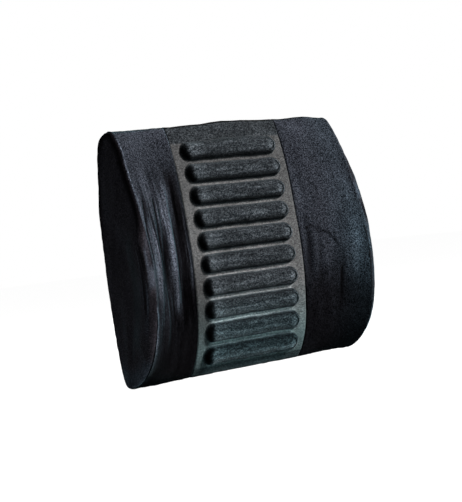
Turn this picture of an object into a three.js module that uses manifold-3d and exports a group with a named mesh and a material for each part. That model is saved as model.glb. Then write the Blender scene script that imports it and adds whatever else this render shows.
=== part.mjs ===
// Lumbar support cushion: a waisted, saddle-fronted block of moulded foam in a
// zipped cover. The cover has two plush side panels, a centre panel with ten
// moulded ribs over foam inserts, two domed end panels and a back in two
// pieces joined by a full-width coil zip. An elastic strap crosses the back.
//
// Millimetres. +Z runs up the cushion's height, the front faces -Y, left is -X,
// and the origin is the centre of the flat rest area on the back.

import * as THREE from 'three';
import { mergeVertices } from 'three/addons/utils/BufferGeometryUtils.js';
import Module from 'manifold-3d';

const wasm = await Module();
wasm.setup();

// ---------------------------------------------------------------- dimensions

const HALF_WIDTH = 178; // centre to end seam, where FRONT's last column applies
const SECTION_END = 175; // the section stays full out to here
const PANEL_HALF = 89.5; // centre to the seam of the ribbed panel
const BOW = 2.6; // how late the front rises towards the ends
const SEAM_Y = -23.2; // top and bottom seams between front and back
const GAP = 0.3; // clearance between neighbouring pieces

const VELOUR_THICK = 4.4; // plush fabric with its laminated foam
const FACING_THICK = 2.0; // moulded fabric of the ribbed panel
const BACKING_THICK = 1.6; // scrim behind the rib inserts
const BACKING_MARGIN = 2.5; // backing's edge inside the panel's side seams
const BACK_THICK = 2.2; // plain back fabric

// Front profile, top seam to bottom seam: height, depth at the panel's seam,
// depth at the end seam.
const FRONT = [
  [155.6, -23.4, -23.4],
  [155.9, -27.5, -29.0],
  [154.5, -30.8, -34.1],
  [151.5, -32.9, -37.4],
  [147.3, -34.4, -40.0],
  [137.0, -37.8, -46.8],
  [122.1, -41.7, -54.2],
  [105.9, -45.4, -61.3],
  [88.5, -48.6, -68.1],
  [73.2, -50.7, -73.2],
  [53.9, -52.7, -78.8],
  [33.6, -54.8, -84.4],
  [5.1, -57.3, -90.3],
  [-20.3, -58.3, -92.9],
  [-45.8, -58.0, -92.9],
  [-71.2, -56.1, -90.0],
  [-91.5, -53.4, -85.4],
  [-109.8, -49.6, -78.3],
  [-126.1, -43.7, -68.7],
  [-138.3, -37.4, -57.0],
  [-146.5, -31.3, -44.8],
  [-151.3, -26.4, -33.6],
  [-153.6, -22.9, -23.4],
];

// The zip lies midway along this straight stretch of the back: depth, height.
const ZIP_STRETCH = [[-8.4, -130.0], [-5.0, -100.0]];

// Back profile, bottom seam to top seam: depth, height.
const BACK = [
  [-18.0, -152.6],
  [-14.0, -149.0],
  [-10.9, -141.5],
  ...ZIP_STRETCH,
  [-3.2, -76.0],
  [-1.5, -50.0],
  [0, -25.0],
  [0, 12.0],
  [0, 60.0],
  [-2.2, 74.0],
  [-4.9, 90.0],
  [-7.3, 108.2],
  [-9.6, 126.5],
  [-12.2, 141.1],
  [-16.0, 150.0],
  [-20.0, 154.2],
];

// -------------------------------------------------------------- section loops

const MIDDLE = [-25, 0]; // the point [y, z] that inset outlines shrink towards

// Share of the front's rise, centre to end seam, reached at the panel's seam.
const SEAM_SHARE = Math.pow(PANEL_HALF / HALF_WIDTH, BOW);

// Depth of the front at a distance x from the centre, for a row of FRONT.
function frontDepth(x, [, seamDepth, endDepth]) {
  const centre = (seamDepth - SEAM_SHARE * endDepth) / (1 - SEAM_SHARE);
  return centre + (endDepth - centre) * Math.pow(Math.abs(x) / HALF_WIDTH, BOW);
}

function frontLine(x) {
  return FRONT.map((row) => [frontDepth(x, row), row[0]]);
}

// The cushion's outline at x, as [y, z] points: down the front, up the back.
function section(x) {
  return [...frontLine(x), ...BACK];
}

// Shortest distance from a point to a closed outline.
function distanceTo(loop, y, z) {
  let best = Infinity;
  for (let i = 0; i < loop.length; i++) {
    const [startY, startZ] = loop[i];
    const [endY, endZ] = loop[(i + 1) % loop.length];
    const dy = endY - startY;
    const dz = endZ - startZ;
    const along = ((y - startY) * dy + (z - startZ) * dz) / (dy * dy + dz * dz);
    const t = Math.min(1, Math.max(0, along));
    best = Math.min(best, Math.hypot(y - startY - t * dy, z - startZ - t * dz));
  }
  return best;
}

// The same outline drawn a constant distance inside itself. Each point moves
// along its line to the middle, so loops at every depth match point for point.
function inset(loop, depth) {
  return loop.map(([y, z]) => {
    const towardsMiddle = (t) => [y + (MIDDLE[0] - y) * t, z + (MIDDLE[1] - z) * t];
    let near = 0;
    let far = 0.6;
    for (let i = 0; i < 40; i++) {
      const t = (near + far) / 2;
      if (distanceTo(loop, ...towardsMiddle(t)) < depth) near = t;
      else far = t;
    }
    return towardsMiddle((near + far) / 2);
  });
}

// ------------------------------------------------------------ solids and cuts

function toSolid(geometry) {
  const bare = geometry.clone();
  // Vertices that differ only in these would not merge.
  bare.deleteAttribute('normal');
  bare.deleteAttribute('uv');
  const merged = mergeVertices(bare, 1e-4);
  return new wasm.Manifold(
    new wasm.Mesh({
      numProp: 3,
      vertProperties: merged.attributes.position.array,
      triVerts: new Uint32Array(merged.index.array),
    }),
  );
}

// Flat-shaded geometry of a solid.
function toGeometry(solid) {
  const { vertProperties, triVerts } = solid.getMesh();
  const indexed = new THREE.BufferGeometry();
  indexed.setAttribute('position', new THREE.BufferAttribute(vertProperties, 3));
  indexed.setIndex(new THREE.BufferAttribute(triVerts, 1));
  const flat = indexed.toNonIndexed();
  flat.computeVertexNormals();
  return flat;
}

// A solid from points and consistently wound triangles, turned outside out if
// they face inwards.
function fromTriangles(points, triangles) {
  const build = (faces) => {
    const geometry = new THREE.BufferGeometry();
    geometry.setAttribute('position', new THREE.Float32BufferAttribute(points.flat(), 3));
    geometry.setIndex(faces.flat());
    return toSolid(geometry);
  };
  const solid = build(triangles);
  return solid.volume() > 0 ? solid : build(triangles.map(([a, b, c]) => [a, c, b]));
}

// Triangles joining each ring of `count` points to the next.
function ringSides(ringTotal, count) {
  const triangles = [];
  for (let r = 0; r + 1 < ringTotal; r++) {
    for (let i = 0; i < count; i++) {
      const a = r * count + i;
      const b = r * count + ((i + 1) % count);
      triangles.push([a, a + count, b], [b, a + count, b + count]);
    }
  }
  return triangles;
}

function meanPoint(ring) {
  return [0, 1, 2].map((axis) => ring.reduce((sum, p) => sum + p[axis], 0) / ring.length);
}

// A closed body through matching rings of 3-D points. Each end is closed by a
// fan to the tip given, or to the ring's own mean point.
function loft(rings, startTip = meanPoint(rings[0]), endTip = meanPoint(rings.at(-1))) {
  const count = rings[0].length;
  const points = [...rings.flat(), startTip, endTip];
  const triangles = ringSides(rings.length, count);
  const start = rings.length * count;
  const end = start + 1;
  const last = start - count;
  for (let i = 0; i < count; i++) {
    const j = (i + 1) % count;
    triangles.push([start, i, j], [end, last + j, last + i]);
  }
  return fromTriangles(points, triangles);
}

function ringAt(x, loop) {
  return loop.map(([y, z]) => [x, y, z]);
}

function boxAt(size, centre) {
  return new THREE.BoxGeometry(...size).translate(...centre);
}

// A box from its [low, high] range on each axis.
function spanBox(...ranges) {
  return boxAt(
    ranges.map(([low, high]) => high - low),
    ranges.map(([low, high]) => (low + high) / 2),
  );
}

function block(xRange, yRange, zRange) {
  return toSolid(spanBox(xRange, yRange, zRange));
}

// The range between two distances from the centre, on one side (-1 or 1) of it.
function sideRange(side, near, far) {
  return side > 0 ? [near, far] : [-far, -near];
}

function unite(solids) {
  return solids.reduce((a, b) => a.add(b));
}

const FAR = 400; // beyond the cushion in every direction
const ALL = [-FAR, FAR];

// ------------------------------------------------------------ cushion's bodies

const STATIONS = [30, 60, PANEL_HALF, 115, 137, 157, SECTION_END];
const ALONG = [...STATIONS.map((x) => -x).reverse(), 0, ...STATIONS];

const DOME_X = 182; // centre to the crown of a domed end panel
const DOME_Y = MIDDLE[0] - 12; // depth of the crown
const DOME_INSETS = [[177.2, 0.9], [179.2, 3.4]]; // x, inset of the section
const DOME_CAP = { x: 181.2, scale: 0.66 }; // last ring, shrunk about the crown
const PAST_ENDS = DOME_X + 5;

// The whole cushion drawn a constant depth under its surface, cut square at
// the given half length.
function body(depth, halfLength = PAST_ENDS) {
  const inner = ALONG.filter((x) => Math.abs(x) < halfLength - 0.5);
  const xs = [-halfLength, ...inner, halfLength];
  return loft(xs.map((x) => ringAt(x, inset(section(x), depth))));
}

function outerBody() {
  const full = section(SECTION_END);
  const cap = full.map(([y, z]) => [DOME_Y + (y - DOME_Y) * DOME_CAP.scale, z * DOME_CAP.scale]);
  const domeLoops = [...DOME_INSETS.map(([x, depth]) => [x, inset(full, depth)]), [DOME_CAP.x, cap]];
  const dome = (side) => domeLoops.map(([x, loop]) => ringAt(side * x, loop));
  const rings = [...dome(-1).reverse(), ...ALONG.map((x) => ringAt(x, section(x))), ...dome(1)];
  return loft(rings, [-DOME_X, DOME_Y, 0], [DOME_X, DOME_Y, 0]);
}

const outer = outerBody();
const frontHalf = block(ALL, [-FAR, SEAM_Y - GAP / 2], ALL);
const backHalf = block(ALL, [SEAM_Y + GAP / 2, FAR], ALL);

// The skin of the cushion to a given thickness, open at the ends.
function shell(thickness) {
  return outer.subtract(body(thickness));
}

// ------------------------------------------------------------- zip's placement

// The zip's own frame: x along the zip, y out of the back, z across the zip.
const [[lowY, lowZ], [highY, highZ]] = ZIP_STRETCH;
const ZIP_TILT = Math.atan2(highY - lowY, highZ - lowZ);
const zipPlace = new THREE.Matrix4()
  .makeTranslation(0, (lowY + highY) / 2, (lowZ + highZ) / 2)
  .multiply(new THREE.Matrix4().makeRotationX(-ZIP_TILT));

// A block drawn in the zip's frame and moved to its place on the back.
function zipBlock(xRange, yRange, zRange) {
  return toSolid(spanBox(xRange, yRange, zRange).applyMatrix4(zipPlace));
}

const ZIP_OPEN = 6; // half the width between the two back pieces
const TAPE_EDGE = 15; // outer edge of a tape from the zip's centre line

// ------------------------------------------------------------------ the cover

const SHELL_END = SECTION_END - GAP;

const velourShell = shell(VELOUR_THICK).intersect(frontHalf);
const backShell = shell(BACK_THICK)
  .intersect(backHalf)
  .intersect(block([-SHELL_END, SHELL_END], ALL, ALL));

function velourPanel(side) {
  return velourShell.intersect(block(sideRange(side, PANEL_HALF + GAP / 2, SHELL_END), ALL, ALL));
}

function endPanel(side) {
  return outer.intersect(block(sideRange(side, SECTION_END, FAR), ALL, ALL));
}

function backPanel(side) {
  return backShell.intersect(zipBlock(ALL, ALL, sideRange(side, ZIP_OPEN, FAR)));
}

// ----------------------------------------------------------- the ribbed panel

const RIBS = 10;
const RIB_PITCH = 28.1;
const RIB_START = 26.9; // along the front, top seam to half a pitch above the first rib's middle
const RIB_HALF_LENGTH = 77.5;
const RIB_HALF_WIDTH = 12.35;
const RIB_HEIGHT = 9.2;
const INSERT_GAP = 0.5; // between an insert's top and the facing over it

// Rings of the rib-shaped solids: inset from the rib's edge, height.
const RIB_OUTSIDE = [[0.2, -1.2], [0, 0.4], [1.4, 6.2], [6, RIB_HEIGHT]];
const RIB_HOLLOW = [[2.2, -4], [3.0, 5.0], [6.8, RIB_HEIGHT - FACING_THICK]];
const RIB_INSERT = [[2.8, -1.7], [3.5, 4.5], [7.2, RIB_HEIGHT - FACING_THICK - INSERT_GAP]];

function depthAt(x, z) {
  // Starts at the highest row, below which the heights only fall.
  let i = 1;
  while (i < FRONT.length - 2 && FRONT[i + 1][0] > z) i++;
  const above = FRONT[i];
  const below = FRONT[i + 1];
  const t = (z - above[0]) / (below[0] - above[0]);
  return frontDepth(x, above) * (1 - t) + frontDepth(x, below) * t;
}

// Point on the front at x and z, moved out of the surface by a height.
function onFront(x, z, height) {
  const reach = 6; // the slope is averaged this far to each side
  const normal = new THREE.Vector3(
    (depthAt(x + reach, z) - depthAt(x - reach, z)) / (2 * reach),
    -1,
    (depthAt(x, z + reach) - depthAt(x, z - reach)) / (2 * reach),
  ).normalize();
  return new THREE.Vector3(x, depthAt(x, z), z).addScaledVector(normal, height).toArray();
}

// Rib spacing is measured down the front halfway out to the panel's seam.
const PITCH_LINE = frontLine(PANEL_HALF / 2);

// Height on the panel reached after running a distance down from the top seam.
function heightAt(distance) {
  let run = 0;
  for (let i = 0; i + 1 < PITCH_LINE.length; i++) {
    const [startY, startZ] = PITCH_LINE[i];
    const [endY, endZ] = PITCH_LINE[i + 1];
    const step = Math.hypot(endY - startY, endZ - startZ);
    if (run + step >= distance) return startZ + ((endZ - startZ) * (distance - run)) / step;
    run += step;
  }
  return PITCH_LINE.at(-1)[1];
}

// Pill outline inside the rib's edge, as [x, distance up the front] points.
function pill(edgeInset) {
  const radius = RIB_HALF_WIDTH - edgeInset;
  const arcCentre = RIB_HALF_LENGTH - RIB_HALF_WIDTH;
  const points = [];
  for (const side of [1, -1]) {
    const start = -90 * side;
    for (let degrees = start; degrees <= start + 180; degrees += 30) {
      const angle = (degrees * Math.PI) / 180;
      points.push([side * arcCentre + radius * Math.cos(angle), radius * Math.sin(angle)]);
    }
    points.push([0, side * radius]);
  }
  return points;
}

function ribSolid(index, rings) {
  const middle = RIB_START + RIB_PITCH * (index + 0.5);
  const outlines = rings.map(([edgeInset]) => pill(edgeInset));
  const points = rings.flatMap(([, height], r) =>
    outlines[r].map(([x, up]) => onFront(x, heightAt(middle - up), height)),
  );
  const count = outlines[0].length;
  const top = (rings.length - 1) * count;
  const capOf = (outline) =>
    THREE.ShapeUtils.triangulateShape(outline.map((p) => new THREE.Vector2(...p)), []);
  return fromTriangles(points, [
    ...ringSides(rings.length, count),
    ...capOf(outlines[0]),
    ...capOf(outlines.at(-1)).map(([a, b, c]) => [top + a, top + c, top + b]),
  ]);
}

function ribSolids(rings) {
  return Array.from({ length: RIBS }, (_, k) => ribSolid(k, rings));
}

function ribFacing() {
  const half = PANEL_HALF - GAP / 2;
  const flat = shell(FACING_THICK).intersect(frontHalf).intersect(block([-half, half], ALL, ALL));
  const raised = unite([flat, ...ribSolids(RIB_OUTSIDE)]);
  return ribSolids(RIB_HOLLOW).reduce((a, b) => a.subtract(b), raised);
}

function ribBacking() {
  const top = FACING_THICK + GAP;
  const half = PANEL_HALF - BACKING_MARGIN;
  return body(top)
    .subtract(body(top + BACKING_THICK))
    .intersect(block([-half, half], [-FAR, SEAM_Y - 2], ALL));
}

// -------------------------------------------------------------- the foam core

const CORE_FRONT = 4.8; // depth of the core under the front
const CORE_BACK = 2.5; // and under the back
const CORE_END = SECTION_END - 0.5;
const ZIP_RECESS = { floor: -4.9, half: TAPE_EDGE + 1 }; // groove behind the zip

function foamCore() {
  const backLayer = body(CORE_BACK, CORE_END).intersect(block(ALL, [SEAM_Y + 0.6, FAR], ALL));
  return body(CORE_FRONT, CORE_END)
    .add(backLayer)
    .subtract(zipBlock(ALL, [ZIP_RECESS.floor, 20], [-ZIP_RECESS.half, ZIP_RECESS.half]));
}

// -------------------------------------------------------------------- the zip

const ZIP_HALF = 172; // half the length of the tapes
const TAPE_THICK = 0.6;
const TAPE_Y = -2.9; // middle of a tape's thickness
const COIL_IN = 0.8; // a coil's inner edge from the zip's centre line
const COIL_OUT = 3.1;
const SLIDER_X = 150; // slider at the closed end
const STOP_X = 160;

// Coil section: distance from the centre line, y.
const COIL = [
  [COIL_IN, -1.75], [COIL_IN + 0.45, -2.3], [COIL_OUT - 0.55, -2.3], [COIL_OUT, -1.8],
  [COIL_OUT, -0.9], [COIL_OUT - 0.55, -0.4], [COIL_IN + 0.45, -0.4], [COIL_IN, -0.95],
];

// Slider plates, pull, its window and its slot: x, z along one edge, mirrored
// across the zip.
const SLIDER_EDGE = [[-6, -3.6], [-5, -4.2], [3, -4.5], [5.4, -4.5], [6.2, -3.4]];
const PULL_EDGE = [[0.6, 2.9], [-7.5, 2.9], [-11, 3.6], [-22, 4.0], [-25, 3.0], [-26, 1.2]];
const WINDOW_EDGE = [[-0.6, -1.7], [-5.6, -1.7]];
const SLOT_EDGE = [[-20, -1.5], [-20.8, -2.1], [-22.2, -2.1], [-23, -1.5]];

// Arch over the slider that holds the pull: x, y.
const BAIL = [
  [-3.7, 1.0], [-3.5, 3.6], [-2.4, 4.5], [2.4, 4.5], [3.5, 3.6], [3.7, 1.0],
  [2.5, 1.0], [2.3, 3.2], [1.7, 3.65], [-1.7, 3.65], [-2.3, 3.2], [-2.5, 1.0],
];
const BAIL_WIDTH = 2.4;

const PULL_Y = 2.4; // middle of the pull's thickness
const PULL_THICK = 1.2;

function mirrored(edge) {
  return [...edge, ...edge.map(([x, z]) => [x, -z]).reverse()];
}

function extrude(outline, depth, hole) {
  const toVectors = (points) => points.map((p) => new THREE.Vector2(...p));
  const shape = new THREE.Shape(toVectors(outline));
  if (hole) shape.holes.push(new THREE.Path(toVectors(hole)));
  const options = { depth, bevelEnabled: false, steps: 1, curveSegments: 1 };
  return new THREE.ExtrudeGeometry(shape, options);
}

// A flat plate between two levels of y, from one edge of its outline.
function plate(edge, yLow, yHigh, holeEdge) {
  const geometry = extrude(mirrored(edge), yHigh - yLow, holeEdge && mirrored(holeEdge));
  return toSolid(geometry.rotateX(Math.PI / 2).translate(0, yHigh, 0));
}

function zipTape(side) {
  return boxAt(
    [2 * ZIP_HALF, TAPE_THICK, TAPE_EDGE - COIL_IN],
    [0, TAPE_Y, (side * (TAPE_EDGE + COIL_IN)) / 2],
  );
}

function zipCoil(side) {
  const loop = COIL.map(([out, y]) => [y, side * out]);
  return loft([-ZIP_HALF, ZIP_HALF].map((x) => ringAt(x, loop)));
}

// A bar over both coils with a leg down each side.
function zipStop(side) {
  const x = side * STOP_X;
  return unite([
    toSolid(boxAt([3, 0.7, 2 * COIL_OUT + 1.8], [x, 0.25, 0])),
    ...[-1, 1].map((s) => toSolid(boxAt([3, 2.3, 0.6], [x, -0.95, s * (COIL_OUT + 0.6)]))),
  ]);
}

function zipSlider() {
  const solid = unite([
    plate(SLIDER_EDGE, 0, 1.2),
    plate(SLIDER_EDGE, -4.4, -3.5),
    // Side rails under the top plate, then the post between the plates.
    ...[-1, 1].map((side) => toSolid(boxAt([8, 2.4, 0.8], [-1, -1.1, side * 3.9]))),
    toSolid(boxAt([3, 4.6, 0.9], [3.4, -1.7, 0])),
    toSolid(extrude(BAIL, BAIL_WIDTH).translate(0, 0, -BAIL_WIDTH / 2)),
  ]);
  return toGeometry(solid).translate(SLIDER_X, 0, 0);
}

function zipPull() {
  const half = PULL_THICK / 2;
  const tab = plate(PULL_EDGE, PULL_Y - half, PULL_Y + half, WINDOW_EDGE);
  const slot = plate(SLOT_EDGE, PULL_Y - 2, PULL_Y + 2);
  return toGeometry(tab.subtract(slot)).translate(SLIDER_X, 0, 0);
}

// ------------------------------------------------------------------ the strap

const STRAP = { width: 38, thick: 1.5, z: 38, half: SECTION_END - 1.5 };

function elasticStrap() {
  return boxAt([2 * STRAP.half, STRAP.thick, STRAP.width], [0, GAP + STRAP.thick / 2, STRAP.z]);
}

// ------------------------------------------------------------------- assembly

const VELOUR = { color: 0x14161b, roughness: 0.95 };
const RIB_CLOTH = { color: 0x3a4044, roughness: 0.9 };
const BACK_CLOTH = { color: 0x101216, roughness: 0.9 };
const FOAM = { color: 0xd9cfa8, roughness: 0.95 };
const SCRIM = { color: 0x8a8c8e, roughness: 0.9 };
const TAPE_CLOTH = { color: 0x0c0d10, roughness: 0.85 };
const NYLON = { color: 0x0e0f12, roughness: 0.45 };
const BLACK_ZINC = { color: 0x1b1c20, roughness: 0.35, metalness: 0.8 };
const ELASTIC = { color: 0x0d0e11, roughness: 0.85 };

const LEFT_RIGHT = { left: -1, right: 1 };
const UPPER_LOWER = { upper: 1, lower: -1 };

// Adds a named mesh of a geometry or a solid to a group.
function addPiece(parent, name, shape, finish) {
  const geometry = shape.isBufferGeometry ? shape : toGeometry(shape);
  const piece = new THREE.Mesh(geometry, new THREE.MeshStandardMaterial(finish));
  piece.name = name;
  parent.add(piece);
}

// Adds one piece for each side, its name ending in the side's.
function addPair(parent, name, sides, build, finish) {
  for (const [sideName, side] of Object.entries(sides)) {
    addPiece(parent, `${name}_${sideName}`, build(side), finish);
  }
}

const group = new THREE.Group();
addPiece(group, 'foam_core', foamCore(), FOAM);

const cover = new THREE.Group();
addPair(cover, 'velour_panel', LEFT_RIGHT, velourPanel, VELOUR);
addPair(cover, 'end_panel', LEFT_RIGHT, endPanel, VELOUR);
addPair(cover, 'back_panel', UPPER_LOWER, backPanel, BACK_CLOTH);
group.add(cover);

const ribPanel = new THREE.Group();
addPiece(ribPanel, 'rib_panel_facing', ribFacing(), RIB_CLOTH);
addPiece(ribPanel, 'rib_panel_backing', ribBacking(), SCRIM);
ribSolids(RIB_INSERT).forEach((insert, k) => {
  addPiece(ribPanel, `rib_insert_${String(k + 1).padStart(2, '0')}`, insert, FOAM);
});
group.add(ribPanel);

const zip = new THREE.Group();
zip.applyMatrix4(zipPlace);
addPair(zip, 'zip_tape', UPPER_LOWER, zipTape, TAPE_CLOTH);
addPair(zip, 'zip_coil', UPPER_LOWER, zipCoil, NYLON);
addPair(zip, 'zip_stop', LEFT_RIGHT, zipStop, BLACK_ZINC);
addPiece(zip, 'zip_slider', zipSlider(), BLACK_ZINC);
addPiece(zip, 'zip_pull', zipPull(), BLACK_ZINC);
group.add(zip);

addPiece(group, 'elastic_strap', elasticStrap(), ELASTIC);

export default group;
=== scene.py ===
"""Lumbar support cushion: ribbed front between two plush panels, with a zip and a strap at the back.

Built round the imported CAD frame: +Z up, the ribs facing -Y, the width along X. Sizes are in
millimetres, turned to metres by add_mesh; materials, lights and camera are in metres. The front is
mapped by x and the run down from its top seam, the back by x and the run up from its bottom seam.
"""

import math

import bmesh
import bpy
import numpy as np
from mathutils import Matrix, Vector


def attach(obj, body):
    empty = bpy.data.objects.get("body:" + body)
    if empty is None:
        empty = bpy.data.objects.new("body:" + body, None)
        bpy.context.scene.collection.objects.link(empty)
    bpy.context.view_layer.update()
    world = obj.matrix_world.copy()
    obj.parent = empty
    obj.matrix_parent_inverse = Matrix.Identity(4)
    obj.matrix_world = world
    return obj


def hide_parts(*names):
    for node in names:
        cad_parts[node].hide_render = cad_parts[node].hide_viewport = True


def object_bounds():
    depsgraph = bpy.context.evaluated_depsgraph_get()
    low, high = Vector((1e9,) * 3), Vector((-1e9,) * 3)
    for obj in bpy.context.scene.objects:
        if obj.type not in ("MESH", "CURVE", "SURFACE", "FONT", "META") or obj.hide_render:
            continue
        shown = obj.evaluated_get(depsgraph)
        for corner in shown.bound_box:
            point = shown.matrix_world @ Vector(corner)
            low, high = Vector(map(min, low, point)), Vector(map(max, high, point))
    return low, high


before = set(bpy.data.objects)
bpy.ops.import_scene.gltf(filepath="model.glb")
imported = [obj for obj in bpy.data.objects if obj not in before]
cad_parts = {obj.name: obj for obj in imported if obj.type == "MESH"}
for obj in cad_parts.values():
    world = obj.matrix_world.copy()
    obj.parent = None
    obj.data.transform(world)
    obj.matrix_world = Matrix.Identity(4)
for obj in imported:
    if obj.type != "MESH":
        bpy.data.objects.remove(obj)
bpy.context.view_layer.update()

MM = 0.001

# ------------------------------------------------------------------ dimensions

SEAM_X = 178.0  # where the front and back meet the end panels
PANEL_X = 89.5  # where the ribbed panel meets the plush ones
BOW = 2.6  # power of x by which the front curves forward towards its ends
END_CENTRE = np.array([-37.0, -6.0])  # (y, z) of the middle of an end panel

RIB_COUNT = 10
RIB_START = 26.9
RIB_PITCH = 28.1
RIB_HALF_L = 77.5
RIB_HALF_W = 12.35
RIB_H = 9.2

ZIP_Y, ZIP_Z = -6.7, -115.0
ZIP_TILT = math.atan2(3.4, 30)
ZIP_HALF_GAP = 6.0

STRAP_Z, STRAP_W = 38.0, 38.0
STRAP_END = 173.4

# front profile, top to bottom: z, y at the ribbed panel's seam, y at the end seam
FRONT = np.array([
    [155.6, -23.4, -23.4], [155.9, -27.5, -29.0], [154.5, -30.8, -34.1], [151.5, -32.9, -37.4],
    [147.3, -34.4, -40.0], [137.0, -37.8, -46.8], [122.1, -41.7, -54.2], [105.9, -45.4, -61.3],
    [88.5, -48.6, -68.1], [73.2, -50.7, -73.2], [53.9, -52.7, -78.8], [33.6, -54.8, -84.4],
    [5.1, -57.3, -90.3], [-20.3, -58.3, -92.9], [-45.8, -58.0, -92.9], [-71.2, -56.1, -90.0],
    [-91.5, -53.4, -85.4], [-109.8, -49.6, -78.3], [-126.1, -43.7, -68.7], [-138.3, -37.4, -57.0],
    [-146.5, -31.3, -44.8], [-151.3, -26.4, -33.6], [-153.6, -22.9, -23.4]])
# back profile, bottom to top: y, z
BACK = np.array([
    [-22.9, -153.6], [-18.0, -152.6], [-14.0, -149.0], [-10.9, -141.5], [-8.4, -130.0],
    [-5.0, -100.0], [-3.2, -76.0], [-1.5, -50.0], [0, -25.0], [0, 12.0], [0, 60.0], [-2.2, 74.0],
    [-4.9, 90.0], [-7.3, 108.2], [-9.6, 126.5], [-12.2, 141.1], [-16.0, 150.0], [-20.0, 154.2],
    [-23.4, 155.6]])

# ------------------------------------------------------------------ smooth profiles


def arc_length(points):
    """The distance run along a polyline at each of its points."""
    return np.r_[0, np.cumsum(np.linalg.norm(np.diff(points, axis=0), axis=1))]


def smooth(values, sigma, pitch):
    """Gaussian smoothing of a sampled curve that keeps its end points and end slopes."""
    n = int(4 * sigma / pitch)
    kernel = np.exp(-0.5 * (np.arange(-n, n + 1) * pitch / sigma) ** 2)
    kernel /= kernel.sum()
    before, after = 2 * values[0] - values[n:0:-1], 2 * values[-1] - values[-2:-n - 2:-1]
    return np.convolve(np.concatenate([before, values, after]), kernel, mode="valid")


def smooth_profile(points, sigma, corner, blend):
    """Run and smoothed columns of a profile whose first two columns are its outline.

    Within corner of either end it is rounded less; blend is the length of the change."""
    measured = arc_length(points[:, :2])
    run = np.linspace(0, measured[-1], int(round(measured[-1] / 0.5)) + 1)
    pitch = run[1] - run[0]
    weight = np.clip(np.minimum(run - corner, run[-1] - corner - run) / blend, 0, 1)
    columns = [np.interp(run, measured, column) for column in points.T]
    return run, *[smooth(column, 1.8, pitch) * (1 - weight) + smooth(column, sigma, pitch) * weight
                  for column in columns]


def front_profile():
    """Run, z, y at the middle of the width and y at the end seam."""
    z, panel_y, end_y = FRONT.T
    share = (PANEL_X / SEAM_X) ** BOW
    centre_y = (panel_y - share * end_y) / (1 - share)
    half_way_y = centre_y + (end_y - centre_y) * (PANEL_X / 2 / SEAM_X) ** BOW
    points = np.stack([half_way_y, z, centre_y, end_y], 1)
    run, _, z, centre_y, end_y = smooth_profile(points, sigma=6.0, corner=14, blend=14)
    return run, z, centre_y, end_y


FRONT_RUN, FRONT_Z, FRONT_CENTRE_Y, FRONT_END_Y = front_profile()
FRONT_LEN = FRONT_RUN[-1]
BACK_RUN, BACK_Y, BACK_Z = smooth_profile(BACK, sigma=5.0, corner=16, blend=12)
BACK_LEN = BACK_RUN[-1]


def front_point(x, down):
    """Point on the smooth front at x and a run down from the top seam."""
    z = np.interp(down, FRONT_RUN, FRONT_Z)
    centre = np.interp(down, FRONT_RUN, FRONT_CENTRE_Y)
    end = np.interp(down, FRONT_RUN, FRONT_END_Y)
    y = centre + (end - centre) * (np.abs(x) / SEAM_X) ** BOW
    return np.stack(np.broadcast_arrays(x, y, z), -1)


def back_point(x, up):
    """Point on the smooth back at x and a run up from the bottom seam."""
    y, z = np.interp(up, BACK_RUN, BACK_Y), np.interp(up, BACK_RUN, BACK_Z)
    return np.stack(np.broadcast_arrays(x, y, z), -1)


def section(x, samples):
    """The closed outline at x as (y, z), down the front and up the back, and its run."""
    front = front_point(x, np.linspace(0, FRONT_LEN, samples))[:, 1:]
    loop = np.concatenate([front, np.stack([BACK_Y, BACK_Z], 1)[1:-1], front[:1]])
    return loop, arc_length(loop)


def outline_normals(loop, reach):
    """Outward normals of a closed (y, z) outline, from neighbours reach points away."""
    tangent = np.roll(loop, -reach, 0) - np.roll(loop, reach, 0)
    normal = np.stack([-tangent[:, 1], tangent[:, 0]], 1)
    normal /= np.linalg.norm(tangent, axis=1, keepdims=True)
    return -normal if ((loop - END_CENTRE) * normal).sum() < 0 else normal


def nearest(points, outline):
    """The distance from each point to the nearest point of an outline."""
    return np.sqrt(((points[:, None] - outline[None]) ** 2).sum(-1)).min(1)


# ------------------------------------------------------------------ shaping functions


def lattice(x, y, z, seed):
    """A fixed value in -1..1 for each whole-number cell."""
    code = x * 374761393 + y * 668265263 + z * 2147483647 + seed * 974634777 & 0xFFFFFFFF
    code = ((code ^ (code >> 13)) * 1274126177) & 0xFFFFFFFF
    code = ((code ^ (code >> 16)) * 2246822519) & 0xFFFFFFFF
    return ((code ^ (code >> 15)) & 0xFFFFFF) / float(0xFFFFFF) * 2 - 1


def noise(points, seed):
    """Smooth noise in -1..1 at points (..., 3), one lattice cell per unit."""
    cell = np.floor(points)
    part = points - cell
    weight = part * part * part * (part * (part * 6 - 15) + 10)
    cell = cell.astype(np.int64)
    total = 0
    for corner in np.ndindex(2, 2, 2):
        value = lattice(*np.moveaxis(cell + np.array(corner), -1, 0), seed)
        for axis, far in enumerate(corner):
            value = value * (weight[..., axis] if far else 1 - weight[..., axis])
        total = total + value
    return total


def waves(seed, x, y=0.0, z=0.0):
    """Noise at coordinates already divided by the size of its waves along each."""
    return noise(np.stack(np.broadcast_arrays(x, y, z), -1), seed)


def ease(start, end, value):
    """0 at start and 1 at end, with a soft change between."""
    t = np.clip((value - start) / (end - start), 0, 1)
    return t * t * (3 - 2 * t)


def bell(value, centre, width):
    return np.exp(-(((value - centre) / width) ** 2))


def fade(distance, reach):
    return np.exp(-distance / reach)


def drop(distance, radius):
    """How far a rounded edge has fallen at a distance from its seam."""
    t = np.clip(radius - distance, 0, radius)
    return radius - np.sqrt(np.maximum(radius * radius - t * t, 0))


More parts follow.
